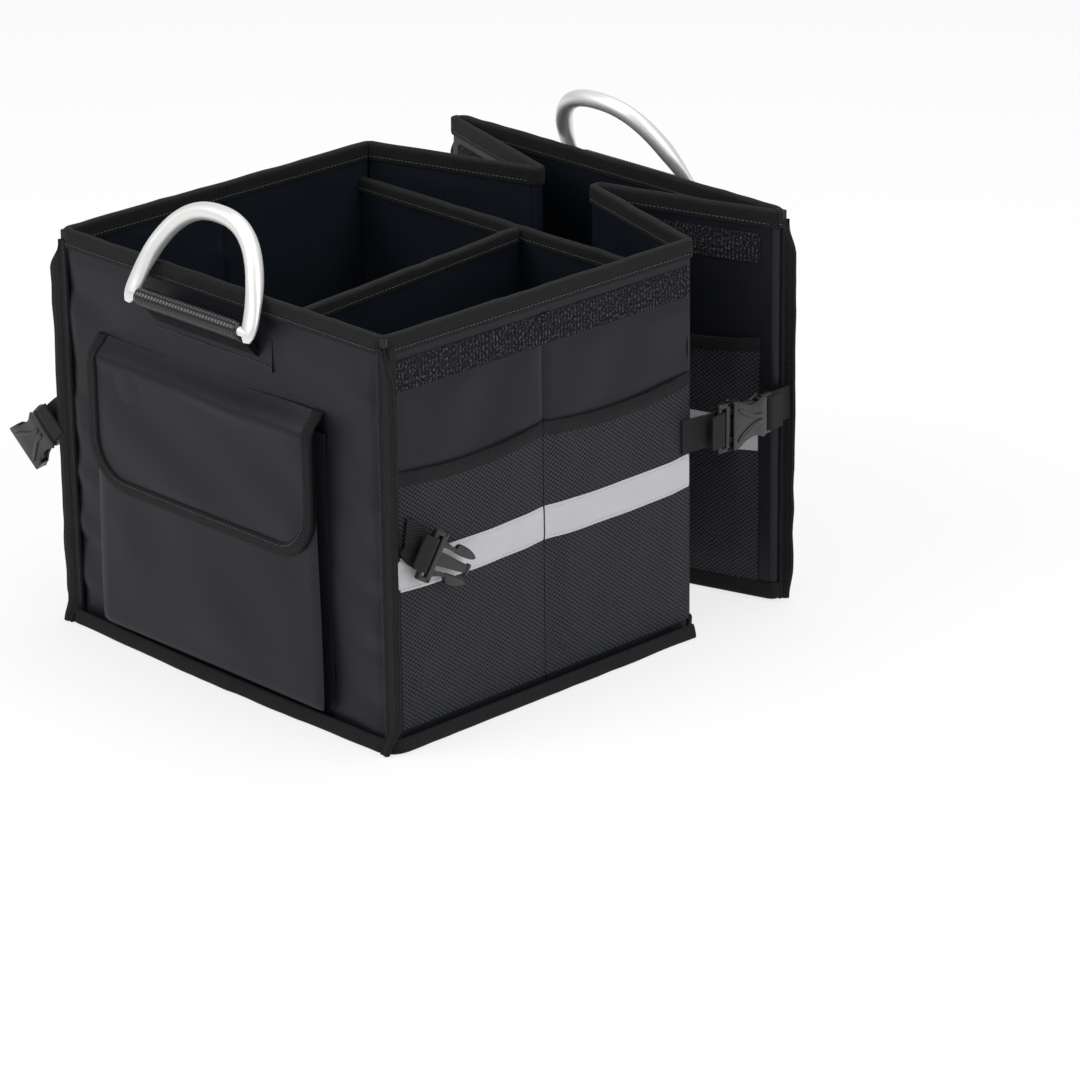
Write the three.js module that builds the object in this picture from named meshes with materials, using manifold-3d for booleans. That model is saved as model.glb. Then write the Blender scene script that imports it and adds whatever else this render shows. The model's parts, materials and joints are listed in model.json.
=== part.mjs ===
// Folding trunk organizer: a boarded cloth box with a second bay that folds like a bellows.
//
// Frame: millimetres, +Z up, +X right, +Y from the near panel to the far panel.
// The origin is the centre of the near bay's underside.
// Every wall is a fibre board in coated cloth, so it is drawn as one stiff panel with its binding.

import * as THREE from 'three';
import { mergeVertices } from 'three/addons/utils/BufferGeometryUtils.js';
import Module from 'manifold-3d';

const wasm = await Module();
wasm.setup();

// Driving dimensions of the box
const width = 340;              // across the outer faces of the side walls
const wallHeight = 300;         // top of the boards
const nearDepth = 290;          // near bay, outer face of the near panel to the middle corner
const farLeaf = 139;            // length of one folding wall panel of the far bay
const foldAngle = 73;           // how far the far bay's walls stand folded, 0 is straight
const board = 4;                // board with cloth on both faces
const clear = 0.3;              // gap kept between neighbouring pieces

// Bindings and hems
const binding = 1.3;            // thickness of the folded binding tape on each face
const rimHeight = 16;           // depth of the tape over the top edges
const tapeBevel = 0.5;
const edgeBand = 11;            // width of the tape on the end panels' upright edges
const edgeProud = 4.5;          // the upright tapes' folds stand out past the side walls
const hemHeight = 14;
const hemFlare = 7;             // how far the hem's foot stands out
const hemGap = 0.6;             // the hem's top edge off the wall
const hemTurn = 2;              // height at which the hem's foot turns under
const floorCloth = 2;
const hemCorner = 18;           // corner radius of the hem's foot
const panelCorner = 3;          // corner radius of the boards

// Loose boards inside the near bay
const dividerDrop = 24;         // divider rims below the top of the walls' boards
const dividerInset = 6;         // cross divider's centre line before the middle corner
const dividerNearX = 36;        // the lengthwise divider stands a little askew
const dividerFarX = 6;
const baseBoard = 4;
const baseBoardMargin = 1.5;
const baseBoardCorner = 6;
const looseFit = 0.8;           // play of the loose boards in their places

// End pockets and their flaps
const pocketWidth = 240;
const pocketShift = -16;        // pocket centre from the panel centre
const pocketBottom = 17;
const pocketLip = 16;           // pocket's mouth below the flap's seam
const pocketDepth = 12;
const pocketCloth = 2;
const pocketCorner = 10;
const flapWidth = 238;
const flapShift = -11;
const flapDrop = 66;            // flap's seam below the top of the boards
const flapLength = 107;
const flapCloth = 2.4;
const flapCorner = 38;
const flapRoll = 2.5;           // radius of the flap's seam, which is its hinge
const flapSeamCorner = 4;

// Carrying handles
const nearHandleShift = -6;     // handle centre from the near panel's centre
const farHandleShift = 4;       // and from the far panel's
const handleHalfSpan = 56.5;    // tube centre at the ends
const handleRise = 71.5;        // tube centre at the crown above the pivot
const handleFullness = 2.35;    // exponent of the arch, 2 is an ellipse
const tubeRadius = 6.4;
const tubeFlat = 3.4;           // half thickness of the tube where its ends are pressed flat
const flatLength = 0.16;        // share of the arch that tapers from flat to round
const rodRadius = 3.6;
const eyeRadius = 6.8;          // the ends turn in round the rod
const eyeLength = 12;
const nearPivotDrop = 20;       // near handle's pivot below the top of the boards
const farPivotDrop = 13;        // the far handle sits higher, so it leans in further
const pivotStandoff = 17.5;     // pivot outside the panel's outer face
const sleeveWall = 2.2;
const sleeveFit = 0.5;
const sleeveLength = 29;        // the sewn patch reaches this far below the pivot
const sleevePatch = 2;          // thickness of the sewn patch
const sleeveSeam = 8;           // height of the sewn patch

// Side trim
const loopStripWidth = 22;
const loopStripProud = 1.2;
const stripGap = 2;             // strip below the rim's tape
const reflectorCentre = 129;
const reflectorWidth = 25;
const reflectorProud = 0.8;
const meshTop = 204;
const meshSag = 6;
const meshProud = 1.2;
const elasticHeight = 10;
const elasticProud = 2;
const trimMargin = 9;           // trim keeps this far from the fold lines

// Far bay's cloth floor
const farFoot = 0.4;            // far walls and floor hang just clear of the ground
const leafInset = 1.6;          // floor hinges inside the bay's corners
const leafMargin = 32;          // floor leaves stop short of the side walls' outer faces

// Straps and side release buckles
const strapCentre = 156;
const webWidth = 26;
const webThick = 1.6;
const webLead = 24;             // webbing from the seam to the buckle bar
const buckleWidth = 37;
const buckleThick = 4.6;
const barLength = 12;           // the male half's frame around the webbing bar
const barWidth = 3;
const slotWidth = 3.6;
const barFrame = 8;             // the female half's frame around its bar
const barWrap = 3.7;            // middle of the webbing round the bar's middle
const webTail = 9;              // webbing turned back past the bar
const tongueLength = 30;
const prongWidth = 6;
const prongThick = 3.8;
const prongSpread = 26;         // outside to outside at the catches
const femaleLength = 34;
const femaleThick = 9;
const femaleWall = 1.8;
const buckleFit = 0.5;          // play of the prongs in the housing
const shoulderGap = 0.8;        // male shoulder to the housing's mouth
const looseDroop = 31;          // degrees that the loose right-hand strap hangs
const looseStandoff = 7;        // its buckle's bar outside the wall's trim
const looseFall = 14;           // its bar below its seam
const leftReach = 16;           // the loose left-hand buckle's bar outside the corner's tape
const leftFall = 10;
const leftTurn = 42;            // degrees that the left-hand half points down
const leftYaw = 10;             // degrees that its face turns out from the near panel
const strapRoot = 9;            // webbing sewn down before the corner
const strapCorner = 6.5;        // the loose right-hand strap's seam behind the corner's tape

// Colours, roughness and metalness
const cloth = { color: 0x23272e, roughness: 0.55, metalness: 0 };
const lining = { color: 0x10141b, roughness: 0.5, metalness: 0 };
const tape = { color: 0x231f20, roughness: 0.9, metalness: 0 };
const meshCloth = { color: 0x16181d, roughness: 0.85, metalness: 0 };
const silver = { color: 0xb4b2b6, roughness: 0.45, metalness: 0.1 };
const loops = { color: 0x17181b, roughness: 1, metalness: 0 };
const metal = { color: 0xc9c9c9, roughness: 0.3, metalness: 1 };
const plastic = { color: 0x25262a, roughness: 0.4, metalness: 0 };

// Derived places
const halfWidth = width / 2;
const nearFace = -nearDepth / 2;
const middle = nearDepth / 2;
const tapeProud = binding + clear;
const innerPivot = board + tapeProud;            // corner pivots lie inside the inner tape
const pivotOffset = innerPivot + tapeProud;      // from there to the mid fold's pivot outside
const theta = THREE.MathUtils.degToRad(foldAngle);
const farDepth = 2 * (farLeaf * Math.cos(theta) + pivotOffset * Math.sin(theta));
const rimBottom = wallHeight - rimHeight;
const rimTop = wallHeight + tapeProud;
const wallFoot = floorCloth + clear;
const trimFace = halfWidth + clear + meshProud + clear + reflectorProud;
const dividerHeight = wallHeight - dividerDrop;
const flapTop = wallHeight - flapDrop;
const flapBottom = flapTop - flapLength;
const pocketTop = flapTop - pocketLip;
const leafHalfWidth = halfWidth - leafMargin;

// Solids: joining, cutting and placing

function toSolid(geometry) {
  const bare = geometry.index ? geometry.toNonIndexed() : geometry.clone();
  bare.deleteAttribute('normal');
  bare.deleteAttribute('uv');
  const merged = mergeVertices(bare, 1e-4);
  return new wasm.Manifold(new wasm.Mesh({
    numProp: 3,
    vertProperties: new Float32Array(merged.attributes.position.array),
    triVerts: new Uint32Array(merged.index.array),
  }));
}

function fromSolid(solid) {
  const mesh = solid.getMesh();
  const geometry = new THREE.BufferGeometry();
  geometry.setAttribute('position', new THREE.BufferAttribute(new Float32Array(mesh.vertProperties), 3));
  geometry.setIndex(new THREE.BufferAttribute(new Uint32Array(mesh.triVerts), 1));
  geometry.computeVertexNormals();
  return geometry;
}

function join(...geometries) {
  return fromSolid(geometries.map(toSolid).reduce((a, b) => a.add(b)));
}

function cut(geometry, ...tools) {
  return fromSolid(tools.map(toSolid).reduce((a, b) => a.subtract(b), toSolid(geometry)));
}

function common(a, b) {
  return fromSolid(toSolid(a).intersect(toSolid(b)));
}

function extrude(shape, depth, basis, origin, bevel = 0) {
  const geometry = new THREE.ExtrudeGeometry(shape, {
    depth: depth - 2 * bevel,
    curveSegments: 6,
    bevelEnabled: bevel > 0,
    bevelThickness: bevel,
    bevelSize: bevel,
    bevelOffset: -bevel,
    bevelSegments: 1,
  });
  geometry.translate(0, 0, bevel);
  geometry.applyMatrix4(new THREE.Matrix4().makeBasis(...basis));
  geometry.translate(...origin);
  return geometry;
}

const X = new THREE.Vector3(1, 0, 0);
const Y = new THREE.Vector3(0, 1, 0);
const Z = new THREE.Vector3(0, 0, 1);

// A (y, z) outline from x0 to x1
function alongX(shape, x0, x1, bevel) {
  return extrude(shape, x1 - x0, [Y, Z, X], [x0, 0, 0], bevel);
}

// An (x, z) outline from y0 to y1
function alongY(shape, y0, y1, bevel) {
  return extrude(shape, y1 - y0, [X, Z, Y.clone().negate()], [0, y1, 0], bevel);
}

// An (x, y) outline from z0 to z1
function alongZ(shape, z0, z1, bevel) {
  return extrude(shape, z1 - z0, [X, Y, Z], [0, 0, z0], bevel);
}

function box(x0, x1, y0, y1, z0, z1) {
  return alongZ(rectangle(x0, x1, y0, y1), z0, z1);
}

function outline(points) {
  return new THREE.Shape(points.map(([x, y]) => new THREE.Vector2(x, y)));
}

// A rectangle with its own radius at each corner, from low left anticlockwise
function rectangle(x0, x1, y0, y1, radii = [0, 0, 0, 0]) {
  const [a, b, c, d] = radii;
  const shape = new THREE.Shape();
  shape.moveTo(x0 + a, y0);
  shape.lineTo(x1 - b, y0);
  if (b) shape.absarc(x1 - b, y0 + b, b, -Math.PI / 2, 0);
  shape.lineTo(x1, y1 - c);
  if (c) shape.absarc(x1 - c, y1 - c, c, 0, Math.PI / 2);
  shape.lineTo(x0 + d, y1);
  if (d) shape.absarc(x0 + d, y1 - d, d, Math.PI / 2, Math.PI);
  shape.lineTo(x0, y0 + a);
  if (a) shape.absarc(x0 + a, y0 + a, a, Math.PI, 1.5 * Math.PI);
  return shape;
}

// A closed skin over rings of points that all have the same count
function skin(rings) {
  const count = rings[0].length;
  const points = rings.flat();
  const index = [];
  const last = (rings.length - 1) * count;
  for (let r = 0; r < rings.length - 1; r += 1) {
    for (let i = 0; i < count; i += 1) {
      const a = r * count + i;
      const b = r * count + (i + 1) % count;
      index.push(a, b, b + count, a, b + count, a + count);
    }
  }
  for (let i = 1; i < count - 1; i += 1) {
    index.push(0, i + 1, i);
    index.push(last, last + i, last + i + 1);
  }
  const geometry = new THREE.BufferGeometry().setFromPoints(points);
  geometry.setIndex(index);
  geometry.computeVertexNormals();
  return geometry;
}

function piece(name, geometry, look) {
  const mesh = new THREE.Mesh(geometry, new THREE.MeshStandardMaterial(look));
  mesh.name = name;
  return mesh;
}

function place(object, x, y, z, turn = 0) {
  object.position.set(x, y, z);
  object.rotation.z = turn;
  return object;
}

// Side walls: one stiff panel with its rim tape, and a hem on the panels that fold

// The outer face of the wall lies at x = face, and outward is the side's sign.
function wallPanel(name, side, face, y0, y1, low, hasHem) {
  const out = (distance) => face + side * distance;
  const foot = hasHem ? [
    [out(0), hemHeight],
    [out(binding), hemHeight],
    [out(binding), low],
    [out(-board - binding), low],
    [out(-board - binding), hemHeight],
    [out(-board), hemHeight],
  ] : [
    [out(0), low],
    [out(-board), low],
  ];
  const shoulder = binding * 0.8;
  const profile = outline([
    [out(0), rimBottom],
    ...foot,
    [out(-board), rimBottom],
    [out(-board - binding), rimBottom],
    [out(-board - binding), rimTop - shoulder],
    [out(-board - binding + shoulder), rimTop],
    [out(binding - shoulder), rimTop],
    [out(binding), rimTop - shoulder],
    [out(binding), rimBottom],
  ]);
  return piece(name, alongY(profile, y0, y1), cloth);
}

// Flat trim on the outer face, from proud = 0 outwards
function onFace(shape, side, face, proud) {
  const base = face + side * clear;
  const tip = base + side * proud;
  return alongX(shape, Math.min(base, tip), Math.max(base, tip));
}

function loopStrip(name, side, face, y0, y1) {
  const top = rimBottom - stripGap;
  return piece(name, onFace(rectangle(y0, y1, top - loopStripWidth, top), side, face, loopStripProud), loops);
}

// The mesh hangs from an elastic band that sags between its sewn ends.
function meshPocket(name, side, face, spans) {
  const foot = hemHeight + stripGap;
  const sheets = [];
  for (const [y0, y1] of spans) {
    const mid = (y0 + y1) / 2;
    const body = new THREE.Shape();
    body.moveTo(y0, foot);
    body.lineTo(y1, foot);
    body.lineTo(y1, meshTop);
    body.quadraticCurveTo(mid, meshTop - 2 * meshSag, y0, meshTop);
    const band = new THREE.Shape();
    band.moveTo(y0, meshTop - elasticHeight);
    band.quadraticCurveTo(mid, meshTop - elasticHeight - 2 * meshSag, y1, meshTop - elasticHeight);
    band.lineTo(y1, meshTop);
    band.quadraticCurveTo(mid, meshTop - 2 * meshSag, y0, meshTop);
    sheets.push(onFace(body, side, face, meshProud), onFace(band, side, face, elasticProud));
  }
  return piece(name, join(...sheets), meshCloth);
}

// The tape runs over the mesh and is sewn through it.
function reflector(name, side, face, y0, y1) {
  const low = reflectorCentre - reflectorWidth / 2;
  const strip = rectangle(y0, y1, low, low + reflectorWidth);
  const over = face + side * (clear + meshProud);
  return piece(name, onFace(strip, side, over, reflectorProud), silver);
}

// End panels: board, tape, pocket, flap, sleeve and handle, with the outer face at y = 0 facing -Y

function endBoard(name) {
  const shape = rectangle(-halfWidth, halfWidth, wallFoot, wallHeight, [0, 0, panelCorner, panelCorner]);
  return piece(name, alongY(shape, 0, board, 0.6), cloth);
}

// Folded tape over the top and both upright edges, as a channel on the board with a fold at each edge
function endBinding(name) {
  const edge = halfWidth + edgeProud;
  const corner = panelCorner + edgeProud;
  const foot = hemHeight + clear;
  const face = tapeProud;
  const outer = rectangle(-edge, edge, foot, rimTop, [0, 0, corner, corner]);
  const windowShape = rectangle(-halfWidth + edgeBand, halfWidth - edgeBand, foot - 1, rimBottom);
  const slotEdge = halfWidth + clear;
  const slotCorner = panelCorner + clear;
  const slot = rectangle(-slotEdge, slotEdge, foot - 1, wallHeight + clear, [0, 0, slotCorner, slotCorner]);
  return piece(name, cut(
    alongY(outer, -face, board + face, tapeBevel),
    alongY(windowShape, -face - 1, board + face + 1),
    alongY(slot, -clear, board + clear),
  ), tape);
}

// A cloth tray with its open back on the panel and its mouth up under the flap
function endPocket(name) {
  const x0 = pocketShift - pocketWidth / 2;
  const x1 = pocketShift + pocketWidth / 2;
  const shell = rectangle(x0, x1, pocketBottom, pocketTop, [pocketCorner, pocketCorner, 0, 0]);
  const corner = pocketCorner - pocketCloth;
  const inner = rectangle(
    x0 + pocketCloth, x1 - pocketCloth, pocketBottom + pocketCloth, pocketTop + 1,
    [corner, corner, 0, 0],
  );
  return piece(name, cut(
    alongY(shell, -clear - pocketDepth, -clear, 1),
    alongY(inner, -clear - pocketDepth + pocketCloth, 1),
  ), cloth);
}

// The flap hangs from its seam, rolls over the pocket's mouth and covers its upper half.
function flapShape() {
  const hang = 2 * clear + pocketDepth;
  const profile = new THREE.Shape();
  profile.moveTo(-clear, flapTop - flapRoll);
  profile.absarc(-clear - flapRoll, flapTop - flapRoll, flapRoll, 0, Math.PI * 0.8);
  profile.lineTo(-hang - flapCloth, pocketTop + flapCloth);
  profile.lineTo(-hang - flapCloth, flapBottom);
  profile.lineTo(-hang, flapBottom);
  profile.lineTo(-hang, pocketTop + clear);
  profile.lineTo(-clear - flapRoll, pocketTop + clear + 2 * flapRoll);
  const half = flapWidth / 2;
  const front = rectangle(
    flapShift - half, flapShift + half, flapBottom, flapTop,
    [flapCorner, flapCorner, flapSeamCorner, flapSeamCorner],
  );
  return common(
    alongX(profile, flapShift - half, flapShift + half),
    alongY(front, -hang - flapCloth - 1, 1),
  );
}

// A loop of cloth round the handle's rod, sewn to the panel below it
function sleeve(name, centre, pivotHeight) {
  const bore = rodRadius + sleeveFit;
  const outer = bore + sleeveWall;
  const half = handleHalfSpan - tubeRadius - clear;
  const foot = pivotHeight - sleeveLength;
  const top = Math.PI / 3;
  const belowTape = rimBottom - 3 * binding;
  const shape = new THREE.Shape();
  shape.moveTo(-clear, foot);
  shape.lineTo(-clear, Math.min(pivotHeight - sleeveWall, belowTape));
  shape.lineTo(-pivotStandoff + outer * Math.cos(top), pivotHeight + outer * Math.sin(top));
  shape.absarc(-pivotStandoff, pivotHeight, outer, top, Math.PI * 1.15);
  shape.lineTo(-clear - sleevePatch, foot + sleeveSeam);
  shape.lineTo(-clear - sleevePatch, foot);
  const hole = new THREE.Path();
  hole.absarc(-pivotStandoff, pivotHeight, bore, 0, 2 * Math.PI, true);
  shape.holes.push(hole);
  return piece(name, alongX(shape, centre - half, centre + half), cloth);
}

// The lean at which the tube comes to rest on the rim
function restLean(pivotDrop) {
  const dy = pivotStandoff - tapeProud;
  const dz = pivotDrop + tapeProud;
  return Math.atan2(dy, dz) - Math.asin((tubeRadius + clear) / Math.hypot(dy, dz));
}

// A D of aluminium tube whose ends are pressed flat round the rod, drawn upright about its pivot
function handle(name, centre, pivotDrop) {
  const stations = 36;
  const sides = 12;
  const rings = [];
  const arch = (t) => {
    const a = Math.PI * (1 - t);
    const power = 2 / handleFullness;
    return new THREE.Vector3(
      handleHalfSpan * Math.sign(Math.cos(a)) * Math.abs(Math.cos(a)) ** power,
      0,
      handleRise * Math.abs(Math.sin(a)) ** power,
    );
  };
  for (let i = 0; i <= stations; i += 1) {
    const t = i / stations;
    const here = arch(t);
    const along = arch(Math.min(1, t + 0.004)).sub(arch(Math.max(0, t - 0.004))).normalize();
    const across = new THREE.Vector3().crossVectors(along, Y).normalize();
    const roundness = Math.min(1, Math.min(t, 1 - t) / flatLength);
    const eased = roundness * roundness * (3 - 2 * roundness);
    const thin = tubeFlat + (tubeRadius - tubeFlat) * eased;
    const ring = [];
    for (let k = 0; k < sides; k += 1) {
      const a = (2 * Math.PI * k) / sides;
      ring.push(here.clone()
        .addScaledVector(Y, thin * Math.cos(a))
        .addScaledVector(across, tubeRadius * Math.sin(a)));
    }
    rings.push(ring);
  }
  const circle = (radius) => {
    const shape = new THREE.Shape();
    shape.absarc(0, 0, radius, 0, 2 * Math.PI);
    return shape;
  };
  const eyes = [-1, 1].map((end) => {
    const centre = end * handleHalfSpan;
    return alongX(circle(eyeRadius), centre - eyeLength / 2, centre + eyeLength / 2, 1);
  });
  const rod = alongX(circle(rodRadius), -handleHalfSpan, handleHalfSpan);
  const geometry = join(skin(rings), ...eyes, rod);
  const mesh = piece(name, geometry, metal);
  mesh.rotation.x = -restLean(pivotDrop);
  return place(mesh, centre, -pivotStandoff, wallHeight - pivotDrop);
}

function endPanel(prefix, handleCentre, pivotDrop) {
  const group = new THREE.Group();
  group.add(
    endBoard(`${prefix}_panel`),
    endBinding(`${prefix}_panel_binding`),
    endPocket(`${prefix}_pocket`),
    piece(`${prefix}_pocket_flap`, flapShape(), cloth),
    sleeve(`${prefix}_handle_sleeve`, handleCentre, wallHeight - pivotDrop),
    handle(`${prefix}_handle`, handleCentre, pivotDrop),
  );
  return group;
}

// Near bay: floor with its hem, base board and dividers

function hemRing(grow, z) {
  const radius = hemCorner;
  const side = halfWidth + grow;
  const front = nearFace - grow;
  const steps = 5;
  const ring = [];
  for (let i = 0; i <= steps; i += 1) {
    const a = Math.PI + (i / steps) * (Math.PI / 2);
    const x = -side + radius + radius * Math.cos(a);
    ring.push(new THREE.Vector3(x, front + radius + radius * Math.sin(a), z));
  }
  for (let i = 0; i <= steps; i += 1) {
    const a = 1.5 * Math.PI + (i / steps) * (Math.PI / 2);
    const x = side - radius + radius * Math.cos(a);
    ring.push(new THREE.Vector3(x, front + radius + radius * Math.sin(a), z));
  }
  ring.push(new THREE.Vector3(side, middle - clear, z));
  ring.push(new THREE.Vector3(-side, middle - clear, z));
  return ring;
}

function nearFloor() {
  const foot = skin([
    hemRing(hemFlare - hemGap, 0),
    hemRing(hemFlare, hemTurn),
    hemRing(tapeProud + hemGap, hemHeight),
  ]);
  const inside = halfWidth + clear;
  const hollow = box(-inside, inside, nearFace - clear, middle + 1, floorCloth, hemHeight + 1);
  return piece('near_floor', cut(foot, hollow), cloth);
}

function nearBaseBoard() {
  const x = halfWidth - board - baseBoardMargin;
  const y0 = nearFace + innerPivot + baseBoardMargin;
  const y1 = middle - dividerInset - board / 2 - baseBoardMargin;
  const shape = rectangle(-x, x, y0, y1, Array(4).fill(baseBoardCorner));
  return piece('near_base_board', alongZ(shape, wallFoot, wallFoot + baseBoard, tapeBevel), lining);
}

// A divider board with a folded tape over its top edge, centred on y = 0
function dividerPanel(length, foot) {
  const half = board / 2;
  const rim = half + binding;
  const tapeFoot = dividerHeight - rimHeight;
  const profile = outline([
    [-half, foot], [half, foot], [half, tapeFoot], [rim, tapeFoot], [rim, dividerHeight - 1],
    [rim - 1, dividerHeight], [1 - rim, dividerHeight], [-rim, dividerHeight - 1],
    [-rim, tapeFoot], [-half, tapeFoot],
  ]);
  return alongX(profile, -length / 2, length / 2);
}

function dividers() {
  const group = new THREE.Group();
  const crossLength = width - 2 * board - 2 * looseFit;
  const cross = piece('cross_divider', dividerPanel(crossLength, wallFoot), lining);
  place(cross, 0, middle - dividerInset, 0);
  const y0 = nearFace + innerPivot + looseFit;
  const y1 = middle - dividerInset - board / 2 - binding - looseFit;
  const span = Math.hypot(y1 - y0, dividerNearX - dividerFarX);
  const skew = Math.atan2(dividerNearX - dividerFarX, y1 - y0);
  const rimHalf = board / 2 + binding;
  const length = span - 2 * rimHalf * Math.tan(skew);
  const foot = wallFoot + baseBoard + clear;
  const lengthwise = piece('lengthwise_divider', dividerPanel(length, foot), lining);
  place(lengthwise, (dividerNearX + dividerFarX) / 2, (y0 + y1) / 2, 0, Math.PI / 2 + skew);
  group.add(cross, lengthwise);
  return group;
}

// Straps: a buckle half lies in its own frame with its bar at y = 0, pointing along +Y

function slotHole(shape, y0) {
  const half = webWidth / 2 + 1;
  shape.holes.push(new THREE.Path([
    new THREE.Vector2(y0, -half),
    new THREE.Vector2(y0, half),
    new THREE.Vector2(y0 + slotWidth, half),
    new THREE.Vector2(y0 + slotWidth, -half),
  ]));
}

// The male half: a frame round the webbing's bar, a middle tongue and two sprung prongs
function maleBuckle(name) {
  const half = buckleWidth / 2;
  const spread = prongSpread / 2;
  const inner = spread - prongWidth;
  const tip = barLength + tongueLength;
  const frame = rectangle(0, barLength, -half, half, [3, 1.5, 1.5, 3]);
  slotHole(frame, barWidth);
  const tongue = outline([
    [barLength - 1, -3.2], [tip - 2, -2.4], [tip, -1.4], [tip, 1.4], [tip - 2, 2.4], [barLength - 1, 3.2],
  ]);
  const solids = [
    alongX(frame, -buckleThick / 2, buckleThick / 2, 0.5),
    alongX(tongue, -1.1, 1.1),
  ];
  for (const end of [-1, 1]) {
    const prong = new THREE.Shape();
    prong.moveTo(barLength - 1, end * inner);
    prong.lineTo(tip - 8, end * (inner + 0.8));
    prong.quadraticCurveTo(tip, end * (inner + 1), tip - 0.5, end * (spread - 3));
    prong.quadraticCurveTo(tip - 5, end * spread, tip - 14, end * spread);
    prong.lineTo(tip - 15, end * (spread - 2.4));
    prong.lineTo(barLength - 1, end * (spread - 2.8));
    solids.push(alongX(prong, -prongThick / 2, prongThick / 2));
  }
  return piece(name, join(...solids), plastic);
}

// The female half: a waisted housing with a mouth, side windows and a frame round its own bar
function femaleBuckle(name) {
  const half = buckleWidth / 2;
  const waist = half - 4.5;
  const mouthY = barFrame + femaleLength;
  const at = (share) => mouthY - femaleLength * share;
  const body = new THREE.Shape();
  body.moveTo(barFrame, half - 5);
  body.lineTo(at(0.9), half - 2);
  body.quadraticCurveTo(at(0.8), waist, at(0.6), waist);
  body.quadraticCurveTo(at(0.3), waist, mouthY, half);
  body.lineTo(mouthY, -half);
  body.quadraticCurveTo(at(0.3), -waist, at(0.6), -waist);
  body.quadraticCurveTo(at(0.8), -waist, at(0.9), 2 - half);
  body.lineTo(barFrame, 5 - half);
  const frame = rectangle(0, barFrame + 2, 3 - half, half - 3, [2, 0, 0, 2]);
  slotHole(frame, barWidth);
  const mouthHalf = prongSpread / 2 + buckleFit;
  const mouth = box(
    femaleWall - femaleThick / 2, femaleThick / 2 - femaleWall,
    mouthY - tongueLength - buckleFit, mouthY + 1, -mouthHalf, mouthHalf,
  );
  const gap = prongThick / 2 + buckleFit;
  const windows = box(-gap, gap, at(0.8), at(0.3), -half, half);
  const solid = join(
    alongX(body, -femaleThick / 2, femaleThick / 2, 0.8),
    alongX(frame, -buckleThick / 2, buckleThick / 2, 0.5),
  );
  return piece(name, cut(solid, mouth, windows), plastic);
}

function frameMatrix(origin, outward, along) {
  const y = along.clone().normalize();
  const z = new THREE.Vector3().crossVectors(outward, y).normalize();
  const x = new THREE.Vector3().crossVectors(y, z);
  return new THREE.Matrix4().makeBasis(x, y, z).setPosition(origin);
}

// Webbing from its seam, along a smooth curve, then through the buckle's slot and back round the bar
function webbing(name, seam, buckle) {
  const radius = barWrap;
  const stations = [];
  const add = (matrix, x, y, turn) => {
    const local = new THREE.Matrix4().makeRotationZ(-turn).setPosition(x, y, 0);
    stations.push(new THREE.Matrix4().multiplyMatrices(matrix, local));
  };
  const wrapY = barWidth / 2;
  const meet = new THREE.Matrix4().multiplyMatrices(
    buckle, new THREE.Matrix4().setPosition(-radius, -2, 0),
  );
  const read = (matrix) => {
    const position = new THREE.Vector3().setFromMatrixPosition(matrix);
    const turn = new THREE.Quaternion().setFromRotationMatrix(matrix);
    return { position, turn, along: Y.clone().applyQuaternion(turn) };
  };
  const a = read(seam);
  const b = read(meet);
  const pull = a.position.distanceTo(b.position) * 0.4;
  const run = new THREE.CubicBezierCurve3(
    a.position,
    a.position.clone().addScaledVector(a.along, pull),
    b.position.clone().addScaledVector(b.along, -pull),
    b.position,
  );
  const steps = 7;
  for (let i = 0; i <= steps; i += 1) {
    const s = i / steps;
    const turn = a.turn.clone().slerp(b.turn, s ** 3);
    const along = Y.clone().applyQuaternion(turn);
    turn.premultiply(new THREE.Quaternion().setFromUnitVectors(along, run.getTangent(s)));
    stations.push(new THREE.Matrix4().makeRotationFromQuaternion(turn).setPosition(run.getPoint(s)));
  }
  const arcs = 6;
  for (let i = 0; i <= arcs; i += 1) {
    const turn = (Math.PI * i) / arcs;
    add(buckle, -radius * Math.cos(turn), wrapY + radius * Math.sin(turn), turn);
  }
  add(buckle, radius, -webTail, Math.PI);
  const rings = stations.map((matrix) => {
    const t = webThick / 2;
    const w = webWidth / 2;
    const corners = [[-t, w], [t, w], [t, -w], [-t, -w]];
    return corners.map(([x, z]) => new THREE.Vector3(x, 0, z).applyMatrix4(matrix));
  });
  return piece(name, skin(rings), tape);
}

function strap(label, seam, buckle, makeHalf) {
  const group = new THREE.Group();
  const half = makeHalf(`${label}_buckle`);
  half.applyMatrix4(buckle);
  group.add(webbing(`${label}_strap`, seam, buckle), half);
  return group;
}

const straight = (x, y, z) => new THREE.Vector3(x, y, z);

// A strap of the far bay's clasped pairs, in the frame of the panel that it is sewn to
function claspStrap(label, side, seamX, seamY, direction, lead, barX, makeHalf) {
  const outward = straight(side, 0, 0);
  const along = straight(0, direction, 0);
  const seam = frameMatrix(straight(seamX, seamY, strapCentre), outward, along);
  const buckle = frameMatrix(straight(barX, seamY + direction * lead, strapCentre), outward, along);
  return strap(label, seam, buckle, makeHalf);
}

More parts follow.
